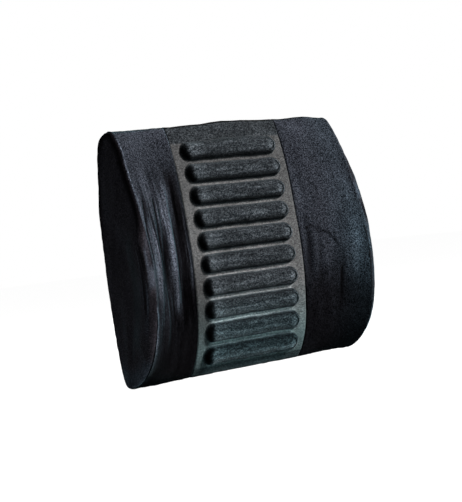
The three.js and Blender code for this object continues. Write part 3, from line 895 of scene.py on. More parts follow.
# painted highlights and shades along folds and seams, by side: a line of (x, z), its width and its
# tone
PAINTED_LIGHT_LINES = {
    -1: [
        ([(-168, 112), (-164.6, 67), (-164.3, 46), (-167, 27), (-171, 12)], 8.0, 0.6),
        ([(-162.5, 60), (-161.7, 13), (-163.6, -10), (-168, -40), (-168, -76)], 6.5, 1.05),
        ([(-164.4, 78), (-168, 52), (-171.5, 32), (-172.2, 0), (-173, -18)], 1.8, -2.0),
        ([(-144, 84), (-145, 45), (-147.6, 26), (-150, 3), (-152, -20)], 2.2, -1.7),
        ([(-156.5, 70), (-157, 40), (-158, 0), (-161, -30)], 1.5, -1.0),
        ([(-142.5, 66), (-141.5, 34), (-144, 10), (-152, -14)], 3.0, 1.0),
        ([(-134, 78), (-136.4, 35), (-141.5, -7), (-146.7, -57)], 4.8, -1.3),
        ([(-121, 104), (-124, 58), (-124.6, 30), (-124.8, -3), (-126.3, -36), (-126.7, -96)],
         7.6, 2.7),
        ([(-100, 112), (-104, 74), (-107.3, 40), (-108.7, 9), (-108.8, -38), (-103, -96)],
         13.5, -1.4),
        ([(-97, 150), (-100, 120), (-104, 70)], 15.0, -0.4),
        ([(-94, 84), (-95, 20), (-93, -40)], 6.0, -0.6),
        ([(-98.7, 30), (-97.6, 16), (-96.0, 4), (-94.0, -48)], 1.5, 1.2),
        ([(-154, -30), (-151.2, -57), (-150.6, -80), (-150.1, -124)], 5.0, 0.8),
        ([(-175, 0), (-175.5, -60), (-174, -140)], 2.6, 2.0),
        ([(-166, -20), (-165, -90), (-168, -146)], 8.0, 0.8),
    ],
    1: [
        ([(97, 50), (102, 26), (101.9, 2.8), (98.9, -21), (97.0, -66)], 3.2, -0.6),
        ([(94, 30), (94, 0), (93, -44)], 3.0, 0.3),
        ([(112, 14), (108, -12), (106.5, -34), (106, -60)], 4.5, 0.45),
        ([(88, 23.6), (96.7, 18.5), (103.3, 15.2), (111.8, 11.4), (126.2, 0.8), (136.9, -11.9),
          (142.2, -25.1), (144.6, -34)], 1.7, -0.95),
        ([(144.6, -24), (140.2, -47.7), (138.6, -74.5), (138.8, -104)], 2.1, -1.0),
        ([(163, 16), (159, -20), (154, -68)], 11.5, 0.6),
        ([(128, -8), (124, -26), (121, -44)], 8.0, 0.45),
        ([(100, 120), (104, 80), (112, 50)], 9.0, -0.25),
    ],
}
SIDE_WORD = {-1: "left", 1: "right"}
# slant of the tone bands, height and tone of the streaks, tone of the fine lines, painted shade at
# the top edge
VELOUR_LOOK = {
    -1: dict(slant=0, streak_height=1.0, streak_tone=1.8, fine_tone=1.0, top_painted_shade=1.0),
    1: dict(slant=0.42, streak_height=0.45, streak_tone=0.45, fine_tone=0.25, top_painted_shade=1.9),
}


def velour_height(side, x, down, base, to_panel, to_end, streaks):
    """Relief of a plush panel over the smooth front."""
    z = base[..., 2]
    edge = np.minimum(down, FRONT_LEN - down)
    height = fold_height(x, z)
    stretched = ease(110, 60, z) * ease(-130, -80, z)
    height += streaks * stretched * VELOUR_LOOK[side]["streak_height"]
    height += 0.7 * waves(3, x / 34, z / 40, 3)
    # puckers along the seams
    height += 0.35 * fade(to_panel, 5) * waves(21, z / 6.5, 0, side)
    height += 0.30 * fade(to_end, 6) * waves(22, z / 8, 0, side)
    height += 0.35 * fade(edge, 6) * waves(23, x / 8)
    # tufts
    height += 0.10 * noise(base / 1.5, 31) + 0.07 * noise(base / 0.9, 32)
    # the welt and rounding of the end seam fade out lower down
    low = ease(24, -45, z)
    height += 0.6 * bell(to_end, 1.8, 1.5) * (1 - low)
    height -= drop(to_panel, 2.2) * (0.35 + 0.65 * ease(2, 16, down))
    height -= drop(to_end, 0.7) * (1 - 0.8 * low) + drop(edge, 2.6)
    return height


def velour_lay(side, x, down, z, to_panel, to_end, streaks):
    look = VELOUR_LOOK[side]
    painted_light_and_nap = np.interp(z + look["slant"] * (x - 96), *PAINTED_SHADE_BASE[side])
    warp = 1.6 * waves(81, x / 9, z / 20, 2) + 0.7 * waves(82, x / 3, z / 9)
    for line, width, tone in PAINTED_LIGHT_LINES[side]:
        taper = min(44, 0.3 * arc_length(np.array(line))[-1])
        painted_light_and_nap += ridge(x + warp * min(1.0, width / 5), z + 3 * warp, line, width, tone, taper)
    # painted highlights beside the seams
    if side < 0:
        dim = 1 - 0.5 * ease(30, -10, z) * ease(-90, -50, z)
        painted_light_and_nap += 1.5 * bell(to_end, 1.4, 1.0) * dim * ease(150, 138, z)
        painted_light_and_nap += 0.9 * bell(to_panel, 1.2, 1.3) * ease(118, 140, z)
    else:
        painted_light_and_nap += 0.45 * bell(to_end, 0, 2.2)
    streak_reach = ease(125, 70, z) * (1 - 0.65 * ease(-75, -112, z))
    painted_light_and_nap += np.clip(streaks, -0.6, 0.6) * streak_reach * look["streak_tone"]
    fine = waves(15, x / 1.9, z / 30, side)
    painted_light_and_nap += 0.75 * fine * ease(95, 45, z) * ease(-105, -60, z) * look["fine_tone"]
    # dark along the top seam, and painted shade at the highest points
    painted_light_and_nap -= 1.5 * bell(down, 0, 2.8) * ease(-150, -120, x)
    painted_light_and_nap -= look["top_painted_shade"] * ease(2.2, 0.7, z.max(0) - z)
    return painted_light_and_nap


def velour_panel(side):
    columns = np.sort(side * (PANEL_X + (SEAM_X - PANEL_X) * np.linspace(0, 1, 118)))
    runs = np.linspace(0, FRONT_LEN, 470)
    x, down, base, normal, shift = lay_sheet(FRONT_SURFACE, columns, runs)
    z = base[..., 2]
    to_panel, to_end = np.abs(np.abs(x) - PANEL_X), np.abs(np.abs(x) - SEAM_X)
    # fine lines of the stretched pile, running down the panel
    streaks = waves(5, x / 3.4, z / 46, side) * 0.28 + waves(9, x / 7.5, z / 60) * 0.5
    height = velour_height(side, x, down, base, to_panel, to_end, streaks)
    painted_light_and_nap = velour_lay(side, x, down, z, to_panel, to_end, streaks)
    outer = base + normal * height[..., None] + shift
    inner = pick_columns(base - normal * 4.0 + shift, 9)
    word = SIDE_WORD[side]
    shell("velour_" + word, hang(outer), hang(inner), "velour", VELOUR,
          replaces="velour_panel_" + word, attrs={"painted_light_and_nap": painted_light_and_nap})


velour_panel(-1)
velour_panel(1)

# ------------------------------------------------------------------ the ribbed centre panel

# from the middle out: spans of (start, end, step)
FACING_SPANS = [(0, 60, 1.2), (60, 80, 0.56), (80, PANEL_X, 0.8)]
FACING_INNER_SPANS = [(0, 58, 5.5), (58, 80, 1.7), (80, PANEL_X, 3.2)]
# painted light and shade on the pressed cloth between the ribs, and at their ends: run down, then
# tone
WEB_RUN = [40, 55, 83, 111, 139, 167, 195, 224, 252, 279, 300]
WEB_TONE = [-0.9, -0.8, -0.3, -0.1, -0.1, 0.15, 0.45, 0.9, 1.25, 1.1, 0.2]
MARGIN_RUN = [0, 40, 80, 140, 200, 250, 290, 320]
MARGIN_TONE = [-0.95, -0.9, -0.75, -0.4, -0.45, -0.55, -0.5, -0.6]
RIGHT_MARGIN_RUN = [0, 140, 175, 220, 270, 320]
RIGHT_MARGIN_TONE = [0.1, -0.1, -0.12, 0.25, 0.45, 0.25]


def mirrored(spans):
    """Positions from spans out from the middle, on both sides of it."""
    half = [spans[0][0]]
    for start, end, pitch in spans:
        n = int(round((end - start) / pitch))
        half += list(start + (end - start) * np.arange(1, n + 1) / n)
    half = np.array(half)
    return np.r_[-half[:0:-1], half]


def rib_field(x, down):
    """Distance inside the nearest rib, the way out of it (x, down), and which rib it is."""
    which = np.clip((down - RIB_START) // RIB_PITCH, 0, RIB_COUNT - 1)
    across = down - (RIB_START + RIB_PITCH * (which + 0.5))
    along = np.sign(x) * np.maximum(np.abs(x) - (RIB_HALF_L - RIB_HALF_W), 0)
    radius = np.hypot(along, across)
    scale = np.maximum(radius, 1e-6)
    return RIB_HALF_W - radius, along / scale, across / scale, which


def rib_height(inside, half_width):
    t = np.clip(inside / half_width, 0, 1)
    crown = np.clip(1 - (1 - t) ** 2, 0, 1) ** 0.6
    return RIB_H * (0.36 * ease(-0.4, 2.6, inside) + 0.66 * crown)


def facing_height(x, down, wobbly, base, inside, out_x, first, on_rib):
    """Relief of the ribbed sheet over the smooth front."""
    height = rib_height(inside, RIB_HALF_W) * (1 - 0.25 * first * ease(9, 0, inside))
    height = height * (1 + 0.05 * waves(43, x / 16, down / 9))
    # the crease round each rib, weaker at its right end
    crease = 0.45 * bell(inside, -0.2, 0.9)
    height -= crease * (1 - 0.8 * first) * (1 - 0.7 * np.clip(out_x, 0, 1))
    # tufts and lengthwise wrinkles on the ribs, a faint grain between them
    height += on_rib * 0.20 * noise(base / np.array([2.6, 1.6, 1.6]), 44)
    height += on_rib * 0.14 * noise(base / 1.1, 45)
    height += on_rib * 0.35 * waves(48, x / 30, wobbly / 3.2) * ease(2, 6, inside)
    height += (1 - on_rib) * 0.06 * noise(base / 1.6, 46)
    height += 0.5 * waves(47, x / 40, down / 40)
    edge = np.minimum(down, FRONT_LEN - down)
    return height - (drop(PANEL_X - np.abs(x), 1.8) + drop(edge, 2.4))


def pressed_lay(x, down):
    """Painted light and shade on the pressed cloth between the ribs and in the margins at their
    ends.
    """
    margin = ease(RIB_HALF_L - 15, RIB_HALF_L - 3, np.abs(x))
    side = np.interp(down, MARGIN_RUN, MARGIN_TONE)
    side += np.interp(down, RIGHT_MARGIN_RUN, RIGHT_MARGIN_TONE) * (x > 0)
    side -= 0.55 * ease(160, 210, down) * ease(290, 250, down) * (x < 0)
    return np.interp(down, WEB_RUN, WEB_TONE) * (1 - margin) + side * margin


def rib_lay(x, down, wobbly, inside, out_x, out_down, first):
    """Painted light and shade on the ribs: black at the left, a pale rim inside a thin dark arc at
    the right.
    """
    low = ease(0.45 * FRONT_LEN, 0.95 * FRONT_LEN, down)
    below, above = np.clip(out_down, 0, 1), np.clip(-out_down, 0, 1)
    painted_light_and_nap = -0.27 + 0.30 * np.clip(inside / RIB_HALF_W, 0, 1)
    turn = np.clip(-1.05 * out_x + 0.30 * out_down * (1 - 1.6 * low), 0, 1)
    painted_light_and_nap -= 3.0 * turn * (1 - ease(3.0, 8.2, inside))
    # a painted highlight near the left end
    painted_light_and_nap += 0.5 * ease(-RIB_HALF_L + 5, -RIB_HALF_L + 12, x) * ease(
        -RIB_HALF_L + 38, -RIB_HALF_L + 16, x)
    # painted shade on one flank: the lower one high on the panel, the upper one low on it
    painted_light_and_nap -= (0.95 * below * (1 - low) + 0.8 * above * low) * (1 - ease(1.0, 5.5, inside))
    # painted highlights: a pale rim inside each rib's right end, and a pale patch near it
    painted_light_and_nap += 0.9 * np.clip(out_x, 0, 1) * bell(inside, 3.9, 0.9)
    painted_light_and_nap += 0.8 * bell(x, RIB_HALF_L - 12.0, 4.2) * ease(5.5, 8.5, inside) * (1 - 0.6 * first)
    # streaks along the rib
    painted_light_and_nap += 0.52 * waves(49, x / 26, wobbly / 2.6) * ease(3, 7, inside)
    # painted light from below on the lower flank of the lower ribs
    painted_light_and_nap += 0.35 * low * below * ease(1, 5, inside)
    return painted_light_and_nap


def facing():
    columns = mirrored(FACING_SPANS)
    runs = np.linspace(0, FRONT_LEN, 394)
    x, down, base, normal, shift = lay_sheet(FRONT_SURFACE, columns, runs)
    wobbly = down + 0.45 * waves(41, x / 14, down / 9)
    inside, out_x, out_down, which = rib_field(x, wobbly)
    on_rib = ease(0.0, 2.2, inside)
    # the first rib runs softly up into the plain strip above it
    first = (which == 0) * ease(0.1, -0.7, out_down)
    height = facing_height(x, down, wobbly, base, inside, out_x, first, on_rib)

    plain = ease(RIB_START + 5, RIB_START + 1, down)
    foot = ease(FRONT_LEN - 16, FRONT_LEN - 12, down)
    press = (1 - ease(-0.3, 0.7, inside)) * (1 - 0.97 * plain)
    press = np.clip(press * (1 - 0.75 * foot), 0, 1)

    strip = -0.2 - 0.25 * ease(14, 2, down) + 0.2 * waves(50, x / 20, down / 8)
    painted_light_and_nap = pressed_lay(x, down) * (1 - on_rib)
    painted_light_and_nap += rib_lay(x, down, wobbly, inside, out_x, out_down, first) * on_rib
    painted_light_and_nap = painted_light_and_nap * (1 - plain * (1 - on_rib)) + strip * plain * (1 - on_rib)
    # dark at the two seams; painted shade in the arc at each rib's right end, at the foot and at the
    # very top
    painted_light_and_nap -= 2.1 * bell(down, 0, 3.2) + 1.2 * bell(down, FRONT_LEN, 2.2)
    painted_light_and_nap -= 2.7 * np.clip(out_x, 0, 1) * bell(inside, 6.2, 0.95) * (1 - 0.7 * first)
    painted_light_and_nap -= 0.25 * foot
    painted_light_and_nap -= 2.6 * ease(2.5, 0.8, base[..., 2].max(0) - base[..., 2])

    outer = base + normal * height[..., None] + shift
    # the moulded sheet is hollow behind each rib
    hollow = rib_height(inside - 2.2, RIB_HALF_W - 2.2)
    kept = np.searchsorted(columns, mirrored(FACING_INNER_SPANS)).clip(0, len(columns) - 1)
    inner = (base + normal * (hollow - 2.0)[..., None] + shift)[:, np.unique(kept)]
    shell("rib_facing", hang(outer), hang(inner), "rib_cloth", RIB_CLOTH,
          replaces="rib_panel_facing", attrs={"press": press, "painted_light_and_nap": painted_light_and_nap})


facing()

# ------------------------------------------------------------------ what is inside

CORE_END = 174.3
CORE_FRONT, CORE_BACK = 4.9, 2.7  # depth of the foam under the front and the back
FRONT_SAMPLES = 400


def foam_core():
    """The moulded foam body as a stack of rounded sections."""
    stations = np.r_[-CORE_END, -173.6, -172, np.linspace(-168, 168, 85), 172, 173.6, CORE_END]
    share = np.linspace(0, 1, 260, endpoint=False)
    rows = []
    for x in stations:
        loop, run = section(x, FRONT_SAMPLES)
        depth = np.full(len(loop), CORE_BACK)
        depth[:FRONT_SAMPLES] = CORE_FRONT
        depth[-1] = CORE_FRONT
        at = share * run[-1]
        flat = np.stack([np.interp(at, run, column) for column in loop.T], 1)
        inset = np.interp(at, run, depth)
        # a channel behind the zip
        inset = inset + 2.6 * ease(19.5, 17.0, np.abs(flat[:, 1] - ZIP_Z)) * (flat[:, 0] > -20)
        inset = inset + drop(CORE_END - abs(x), 1.4)
        flat = flat - outline_normals(flat, 2) * inset[:, None]
        for _ in range(3):
            flat = (np.roll(flat, 1, 0) + 2 * flat + np.roll(flat, -1, 0)) / 4
        rows.append(np.column_stack([np.full(len(flat), x), flat]))
    rows = np.array(rows)
    index = np.arange(rows[..., 0].size).reshape(rows.shape[:2])
    tips = [[-CORE_END, *END_CENTRE], [CORE_END, *END_CENTRE]]
    faces = quads(index, wrap=True)
    faces += fan(index[0], index.size, turned=True) + fan(index[-1], index.size + 1)
    points = np.concatenate([hang(rows).reshape(-1, 3), tips])
    add_mesh("foam_body", points, faces, "foam", FOAM, replaces="foam_core")


def backing():
    """The sheet behind the ribbed panel."""
    half_width, margin = PANEL_X - 0.4, 1.5
    columns = np.linspace(-half_width, half_width, 60)
    runs = np.linspace(margin, FRONT_LEN - margin, 120)
    x, down, base, normal, shift = lay_sheet(FRONT_SURFACE, columns, runs)
    edge = np.minimum(down - margin, FRONT_LEN - margin - down)
    edge = np.minimum(half_width - np.abs(x), edge)
    outer = base - normal * (2.5 + drop(edge, 0.6))[..., None] + shift
    inner = pick_columns(base - normal * 4.2 + shift, 20)
    shell("rib_backing", hang(outer), hang(inner), "scrim", SCRIM, replaces="rib_panel_backing")


def rib_pads():
    """A pill-shaped pad of foam in the hollow of each rib."""
    half_w, half_l = RIB_HALF_W - 3.0, RIB_HALF_L - 3.0
    straight = half_l - half_w
    across, along = np.meshgrid(np.sin(np.linspace(-1, 1, 21) * np.pi / 2),
                                np.sin(np.linspace(-1, 1, 61) * np.pi / 2), indexing="ij")
    # the round ends are drawn in by each row's own half-length
    x = along * (straight + half_w * np.sqrt(np.clip(1 - across ** 2, 0, 1)))
    radius = np.hypot(np.maximum(np.abs(x) - straight, 0), across * half_w)
    top = (RIB_H - 3.2) * np.clip(1 - (radius / half_w) ** 2, 0, 1) ** 0.45
    for k in range(RIB_COUNT):
        down = RIB_START + RIB_PITCH * (k + 0.5) + across * half_w
        base = front_point(x, down)
        normal = normals(front_point(along * half_l, down), -1)
        outer = base + normal * (top - 2.1)[..., None]
        inner = base - normal * 2.25
        shell("rib_pad_%02d" % (k + 1), hang(outer), hang(inner), "foam", FOAM,
              replaces="rib_insert_%02d" % (k + 1))


foam_core()
backing()
rib_pads()

# ------------------------------------------------------------------ the end panels

END_AROUND, END_RINGS = 640, 64
END_INNER_X = 175.2  # the flat inner face


def end_lay(side, distance, y, z):
    front = ease(-24, -40, y)
    # painted highlights on the roll beside the front seam, in streaks that run with the seam
    streaks = waves(56, distance / 2.0, z / 26, side) + 0.6 * waves(57, distance / 4.5, z / 40)
    band = ease(19, 3, distance) * front * puff(z, side)
    painted_light_and_nap = 0.08 + 0.2 * waves(55, y / 9, z / 30)
    painted_light_and_nap += (-0.07 + 1.05 * streaks) * band * (0.35 + 0.65 * ease(-110, -40, z))
    # painted highlights at the seam low down, and all along the bottom
    painted_light_and_nap += (0.55 + 0.8 * streaks) * bell(distance, 0, 2.4) * ease(-70, -110, z)
    painted_light_and_nap += 0.75 * ease(34, 6, distance) * ease(-112, -140, z)
    if side < 0:
        # painted shade beside the seam high up
        painted_light_and_nap -= (0.5 * ease(18, 0, distance) + 1.2 * ease(10, 1, distance)) * ease(20, 60, z)
    else:
        # a painted highlight on the front seam, and a dark patch low at the back
        painted_light_and_nap += 0.15 * ease(16, 3, distance) * front * ease(-120, -60, z)
        painted_light_and_nap -= 0.9 * ease(-34, -14, y) * ease(-40, -100, z)
    return painted_light_and_nap


def end_panel(side):
    closed, run = section(SEAM_X, 900)
    at = np.linspace(0, run[-1], END_AROUND, endpoint=False)
    loop = np.stack([np.interp(at, run, column) for column in closed.T], 1)
    edge = loop - outline_normals(loop, 1) * 0.3
    flat = END_CENTRE + ring_sizes(END_RINGS)[:, None, None] * (edge - END_CENTRE)[None]
    distance = np.array([nearest(ring, edge) for ring in flat])
    distance[0] = 0
    y, z = flat[..., 0], flat[..., 1]
    x = SEAM_X + end_dome(distance, y, z, side)
    # puckers along the seam, broad swells, then tufts
    around = np.arange(END_AROUND) * (720 / END_AROUND)
    x = x + 0.4 * fade(distance, 7) * waves(51, around / 8, 0, side)
    x = x + 0.7 * waves(52, y / 26, z / 40, side) * ease(0, 10, distance)
    tufts = 0.10 * waves(53, y / 1.6, z / 1.6, x / 1.6)
    tufts = tufts + 0.06 * waves(54, y / 0.9, z / 0.9, x / 0.9)
    x = x + tufts * ease(0, 1.5, distance)
    # the settled shift, read from the cage by the share of the way round
    shift, outline = END_SHIFT[side]
    cage_run = arc_length(np.concatenate([outline, outline[:1]]))
    columns = np.interp(np.arange(END_AROUND) / END_AROUND * cage_run[-1], cage_run,
                        np.arange(len(cage_run)))
    rows = np.linspace(0, 1, END_RINGS) * (len(CAGE_RINGS) - 1)
    outer = np.stack([side * x, y, z], -1) + upsample(shift, rows, columns, wrap=True)
    inner_x = side * END_INNER_X
    inner = np.column_stack([np.full(END_AROUND, inner_x), edge * 0.985 + END_CENTRE * 0.015])
    outer, inner = hang(outer), hang(inner)
    index = np.arange((END_RINGS - 1) * END_AROUND).reshape(-1, END_AROUND)
    tip = index.size
    inner_ids = tip + 1 + np.arange(END_AROUND)
    faces = quads(index, wrap=True) + fan(index[-1], tip)
    faces += quads(np.stack([index[0], inner_ids]), wrap=True, turned=True)
    faces += fan(inner_ids, inner_ids[-1] + 1, turned=True)
    points = np.concatenate([outer[:-1].reshape(-1, 3), outer[-1].mean(0)[None], inner,
                             [[inner_x, *END_CENTRE]]])
    word = SIDE_WORD[side]
    add_mesh("end_" + word, points, faces, "velour", VELOUR_END, replaces="end_panel_" + word,
             attrs={"painted_light_and_nap": end_lay(side, distance[:-1], y[:-1], z[:-1])})


end_panel(-1)
end_panel(1)

# ------------------------------------------------------------------ the back

ZIP_RUN = float(np.interp(ZIP_Z, BACK_Z, BACK_RUN))
GAP_LOW, GAP_HIGH = ZIP_RUN - ZIP_HALF_GAP, ZIP_RUN + ZIP_HALF_GAP
TOPSTITCH = 3.0  # from the zip gap to the line of stitches


def back_panel(name, node, start, end, zip_edge, rows):
    columns = np.linspace(-SEAM_X, SEAM_X, 300)
    runs = np.linspace(start, end, rows)
    x, up, base, normal, shift = lay_sheet(BACK_SURFACE, columns, runs)
    z = base[..., 2]
    to_end = SEAM_X - np.abs(x)
    to_zip = np.abs(up - zip_edge)
    to_seam = np.minimum(up, BACK_LEN - up)
    # puckers along the edges
    height = 0.35 * fade(to_end, 8) * waves(61, up / 8, 0, np.sign(x))
    height += 0.25 * fade(to_zip, 9) * waves(62, x / 9)
    height += 0.35 * fade(to_seam, 8) * waves(63, x / 9)
    # broad swells, ripples near the seams, then grain
    height += 0.9 * (waves(64, x / 60, up / 36) - 0.4) * ease(0, 20, to_end)
    height += 0.45 * waves(66, x / 16, up / 44) * ease(60, 5, to_seam)
    height += 0.05 * noise(base / 1.2, 65)
    # the strap and the topstitching beside the zip press into the cloth
    height -= 0.25 * ease(4, -1, np.abs(z - STRAP_Z) - STRAP_W / 2)
    height -= drop(to_end, 3.4) * 0.8 + drop(to_seam, 2.6) + drop(to_zip, 1.1)
    height -= 0.35 * bell(to_zip, TOPSTITCH, 0.8)
    # the middle of the back stays flat enough for the strap
    shift[..., 1] = np.minimum(shift[..., 1], 0.1 + 0.6 * ease(60, 75, np.abs(z)))
    outer = base + normal * height[..., None] + shift
    inner = pick_columns(base - normal * 2.1 + shift, 12)
    shell(name, hang(outer), hang(inner), "back_cloth", BACK_CLOTH, replaces=node)


back_panel("back_lower", "back_panel_lower", 0.0, GAP_LOW, zip_edge=GAP_LOW, rows=60)
back_panel("back_upper", "back_panel_upper", GAP_HIGH, BACK_LEN, zip_edge=GAP_HIGH, rows=260)

# ------------------------------------------------------------------ the zip

ZIP_TURN = np.array(Matrix.Rotation(-ZIP_TILT, 3, "X"))
COIL_TURNS, COIL_SEGMENTS, COIL_AROUND = 236, 14, 6
COIL_END = 171.6
COIL_Y, COIL_Z = -1.35, 1.93  # middle of the upper coil, in the zip's own axes
COIL_HALF_Y, COIL_HALF_Z = 0.60, 0.80
COIL_WIRE = 0.34  # radius
TAPE_END = 172
TAPE_NEAR, TAPE_FAR = 0.8, 15
GUARD_END, GUARD_HALF_W = 176.4, 12


def zip_place(points):
    """Points from the zip's own axes, x along it and y out of the back, to the cushion's."""
    return points @ ZIP_TURN.T + np.array([0, ZIP_Y, ZIP_Z])


def coil(name, node, side):
    """One half of a nylon coil: a flattened helix of monofilament."""
    angle = np.arange(COIL_TURNS * COIL_SEGMENTS + 1) * (2 * np.pi / COIL_SEGMENTS)
    path = np.stack([np.linspace(-COIL_END, COIL_END, len(angle)),
                     COIL_Y + COIL_HALF_Y * np.sin(angle),
                     side * (COIL_Z - COIL_HALF_Z * np.cos(angle))], 1)
    tangent = np.gradient(path, axis=0)
    tangent /= np.linalg.norm(tangent, axis=1, keepdims=True)
    first = np.cross(tangent, np.array([1.0, 0, 0]))
    first /= np.linalg.norm(first, axis=1, keepdims=True)
    second = np.cross(tangent, first)
    turn = (np.arange(COIL_AROUND) * 2 * np.pi / COIL_AROUND)[None, :, None]
    rings = path[:, None] + COIL_WIRE * (
        np.cos(turn) * first[:, None] + np.sin(turn) * second[:, None])
    index = np.arange(rings[..., 0].size).reshape(-1, COIL_AROUND)
    faces = quads(index, wrap=True) + [tuple(index[0][::-1]), tuple(index[-1])]
    add_mesh(name, zip_place(rings), faces, "zip_nylon", NYLON, replaces=node)


def tape(name, node, side):
    """One side of the woven tape, ribbed along its length."""
    x, width = np.meshgrid(np.linspace(-TAPE_END, TAPE_END, 420),
                           np.linspace(TAPE_NEAR, TAPE_FAR, 26))
    weave = np.cos(width * 2 * np.pi / 1.4)
    y = -2.72 + 0.09 * weave + 0.05 * np.sin(x * 2 * np.pi / 1.7) * weave
    y -= drop(width - TAPE_NEAR, 0.25) + drop(TAPE_FAR - width, 0.25)
    outer = zip_place(np.stack([x, y, side * width], -1))
    inner = zip_place(np.stack([x, np.full(x.shape, -3.2), side * width], -1))
    shell(name, outer, pick_columns(inner, 8), "zip_tape", TAPE, replaces=node)


def guard():
    """The flap of back cloth sewn behind the zip, which keeps the foam out of the teeth."""
    x, z = np.meshgrid(np.linspace(-GUARD_END, GUARD_END, 240),
                       np.linspace(-GUARD_HALF_W, GUARD_HALF_W, 14))
    y = -3.75 + 0.12 * waves(91, x / 18, z / 9)
    y -= drop(GUARD_HALF_W - np.abs(z), 0.3) + drop(GUARD_END - np.abs(x), 0.3)
    inner = zip_place(np.stack([x, np.full(x.shape, -4.4), z], -1))
    shell("zip_guard", zip_place(np.stack([x, y, z], -1)), pick_columns(inner, 12),
          "back_cloth", BACK_CLOTH)


for piece in (coil, tape):
    kind = "zip_" + piece.__name__
    piece(kind + "_a", kind + "_upper", 1)
    piece(kind + "_b", kind + "_lower", -1)
guard()

# ------------------------------------------------------------------ stitches


def stitches(name, places, length, radius):
    """Short lens-shaped threads, one closed body for each (centre, direction, normal)."""
    rings, around = 5, 6
    angle = (np.arange(around) * 2 * np.pi / around)[:, None]
    t = np.linspace(-1, 1, rings)[:, None]
    thickness = radius * (0.35 + 0.65 * np.sqrt(1 - t * t * 0.9))
    points, faces = [], []
    for k, (centre, along, normal) in enumerate(places):
        along = along / np.linalg.norm(along)
        normal = normal - along * (normal @ along)
        normal /= np.linalg.norm(normal)
        across = np.cross(along, normal)
        spine = centre + along * (t * length / 2) - normal * (radius * 0.9 * t * t)
        outline = np.cos(angle) * across + np.sin(angle) * normal * 0.8
        points.append(spine[:, None] + thickness[:, None] * outline[None])
        index = (k * rings * around + np.arange(rings * around)).reshape(rings, around)
        faces += quads(index, wrap=True) + [tuple(index[0][::-1]), tuple(index[-1])]
    add_mesh(name, np.array(points), faces, "back_cloth", THREAD)


def zip_topstitch():
    places = []
    for run in (GAP_LOW - TOPSTITCH, GAP_HIGH + TOPSTITCH):
        for x in np.arange(-170, 170.1, 3.4):
            point = back_point(x, run)
            _, dy, dz = back_point(x, run + 0.5) - point
            normal = np.array([0, dz, -dy])
            normal /= np.linalg.norm(normal)
            places.append((point - normal * 0.22, np.array([1.0, 0, 0]), normal))
    stitches("zip_topstitch", places, length=2.7, radius=0.24)


zip_topstitch()

# ------------------------------------------------------------------ the strap

# the box of stitches at each end of the strap
BOX_OUTER_X, BOX_INNER_X = 170.5, 158.5
BOX_HALF_H = 15.5
BOX_Y = 1.42
BOX_PITCH = 2.7


def strap():
    x, width = np.meshgrid(np.linspace(-STRAP_END, STRAP_END, 520),
                           np.linspace(-STRAP_W / 2, STRAP_W / 2, 96))
    bow = 1 - (np.abs(x) / STRAP_END) ** 2
    cord = np.cos(width * 2 * np.pi / 1.9)
    y = 1.35 + 0.20 * cord + 0.06 * np.sin(x * 2 * np.pi / 1.3) * cord
    y += 0.5 * bow + 0.25 * waves(71, x / 70, width / 60)
    y -= drop(STRAP_W / 2 - np.abs(width), 0.5)
    # pressed down under the stitched ends
    y -= 0.30 * ease(155, 162, np.abs(x))
    z = STRAP_Z + width * (1 - 0.012 * bow) + 0.25 * waves(72, x / 50)
    inner = pick_columns(np.stack([x, 0.35 + 0.45 * bow, z], -1), 24)
    shell("strap", np.stack([x, y, z], -1), inner, "elastic", ELASTIC,
          replaces="elastic_strap", attrs={"cord": cord * 0.5 + 0.5})


def strap_stitches():
    """A crossed box at each end."""
    places = []
    for side in (-1, 1):
        corners = [np.array([side * x, BOX_Y, STRAP_Z + z])
                   for x in (BOX_OUTER_X, BOX_INNER_X) for z in (-BOX_HALF_H, BOX_HALF_H)]
        for i, j in ((0, 1), (2, 3), (0, 2), (1, 3), (0, 3), (1, 2)):
            line = corners[j] - corners[i]
            count = int(round(np.linalg.norm(line) / BOX_PITCH))
            places += [(corners[i] + line * (k + 0.5) / count, line, np.array([0, 1.0, 0]))
                       for k in range(count)]
    stitches("strap_stitches", places, length=2.3, radius=0.30)


strap()
strap_stitches()

# ------------------------------------------------------------------ carried-over CAD nodes

for name in ("zip_slider", "zip_pull", "zip_stop_left", "zip_stop_right"):
    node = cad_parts[name]
    paint(node, METAL)
    node.data.polygons.foreach_set("use_smooth", [True] * len(node.data.polygons))
    bevel = node.modifiers.new("edge", "BEVEL")
    bevel.width = 0.00018
    bevel.segments = 2
    bevel.limit_method = "ANGLE"
    bevel.angle_limit = math.radians(35)
    bevel.harden_normals = True

# ------------------------------------------------------------------ stage, lights, camera (metres)


def floor_material():
    """Almost white to the camera, a dim cool grey to the light that bounces off it."""
    mat = material_nodes("pale_floor")
    pale = mat.ramp(mat.noise(3, detail=2, rough=0.5), (0.3, (0.86, 0.86, 0.86)),
                    (0.7, (0.89, 0.89, 0.89)))
    seen = mat.add("ShaderNodeBsdfDiffuse", {"Color": mat.scale(pale, 0.10)}).outputs[0]
    glow = mat.add("ShaderNodeEmission", {"Color": (1, 1, 1, 1), "Strength": 0.98}).outputs[0]
    both = mat.add("ShaderNodeAddShader", {0: seen, 1: glow}).outputs[0]
    bounce = mat.add("ShaderNodeBsdfDiffuse", {"Color": (0.20, 0.24, 0.25, 1)}).outputs[0]
    camera_ray = mat.add("ShaderNodeLightPath").outputs["Is Camera Ray"]
    pick = mat.add("ShaderNodeMixShader", {0: camera_ray, 1: bounce, 2: both})
    return mat.surface(pick.outputs[0])


def add_floor():
    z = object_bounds()[0][2] - 0.0001
    half = 6.0
    mesh = bpy.data.meshes.new("floor")
    corners = [(-half, -half, z), (half, -half, z), (half, half, z), (-half, half, z)]
    mesh.from_pydata(corners, [], [(0, 1, 2, 3)])
    floor = link_object("floor", mesh)
    paint(floor, floor_material())


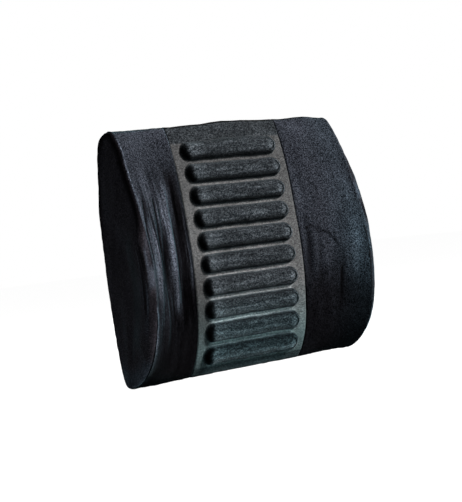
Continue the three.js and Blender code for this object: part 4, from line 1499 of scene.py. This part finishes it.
def add_world():
    """White to the camera, a faint cool light to everything else."""
    world = bpy.data.worlds.new("studio")
    bpy.context.scene.world = world
    sky = Nodes(world, "ShaderNodeOutputWorld")
    lit, seen = (
        sky.add("ShaderNodeBackground", {"Color": colour, "Strength": strength}).outputs[0]
        for colour, strength in (((0.95, 0.97, 1.0, 1), 0.03), ((1, 1, 1, 1), 1.0)))
    camera_ray = sky.add("ShaderNodeLightPath").outputs["Is Camera Ray"]
    sky.surface(sky.add("ShaderNodeMixShader", {0: camera_ray, 1: lit, 2: seen}).outputs[0])


def area(name, place, target, size, power, colour=(1, 1, 1)):
    light = bpy.data.lights.new(name, "AREA")
    light.shape = "DISK"
    light.size = size
    light.energy = power
    light.color = colour
    obj = bpy.data.objects.new(name, light)
    obj.location = place
    obj.rotation_euler = (Vector(target) - Vector(place)).to_track_quat("-Z", "Y").to_euler()
    bpy.context.scene.collection.objects.link(obj)


def add_camera():
    data = bpy.data.cameras.new("camera")
    camera = link_object("camera", data)
    right = Vector((0.7624, -0.6365, -0.1168)).normalized()
    forward = Vector((0.6395, 0.7686, -0.0142)).normalized()
    up = right.cross(forward).normalized()
    turn = Matrix((right, up, -forward)).transposed().to_4x4()
    camera.matrix_world = Matrix.Translation(Vector((-1.4091, -1.7173, 0.0254))) @ turn
    data.sensor_width = 36.0
    data.lens = 125.110756972
    data.clip_end = 50
    bpy.context.scene.camera = camera


add_floor()
add_world()
area("key", place=(1.15, -2.0, 1.35), target=(0, -0.03, 0), size=0.8, power=165,
     colour=(1.0, 0.99, 0.975))
area("fill", place=(-1.6, -1.2, 0.5), target=(0, 0, 0), size=0.9, power=2.5,
     colour=(1.0, 0.96, 0.98))
area("rim", place=(1.7, -0.55, 0.25), target=(0.15, -0.05, 0.02), size=0.5, power=5,
     colour=(0.66, 0.95, 1.0))
area("low_bounce", place=(0.05, -0.85, -0.12), target=(0.0, -0.06, -0.13), size=0.35, power=1.0,
     colour=(0.85, 0.97, 0.98))
area("back_light", place=(0.9, 1.6, 1.2), target=(0, 0, 0), size=0.8, power=120)
add_camera()
bpy.context.scene.view_settings.view_transform = "Standard"
bpy.context.scene.view_settings.look = "None"
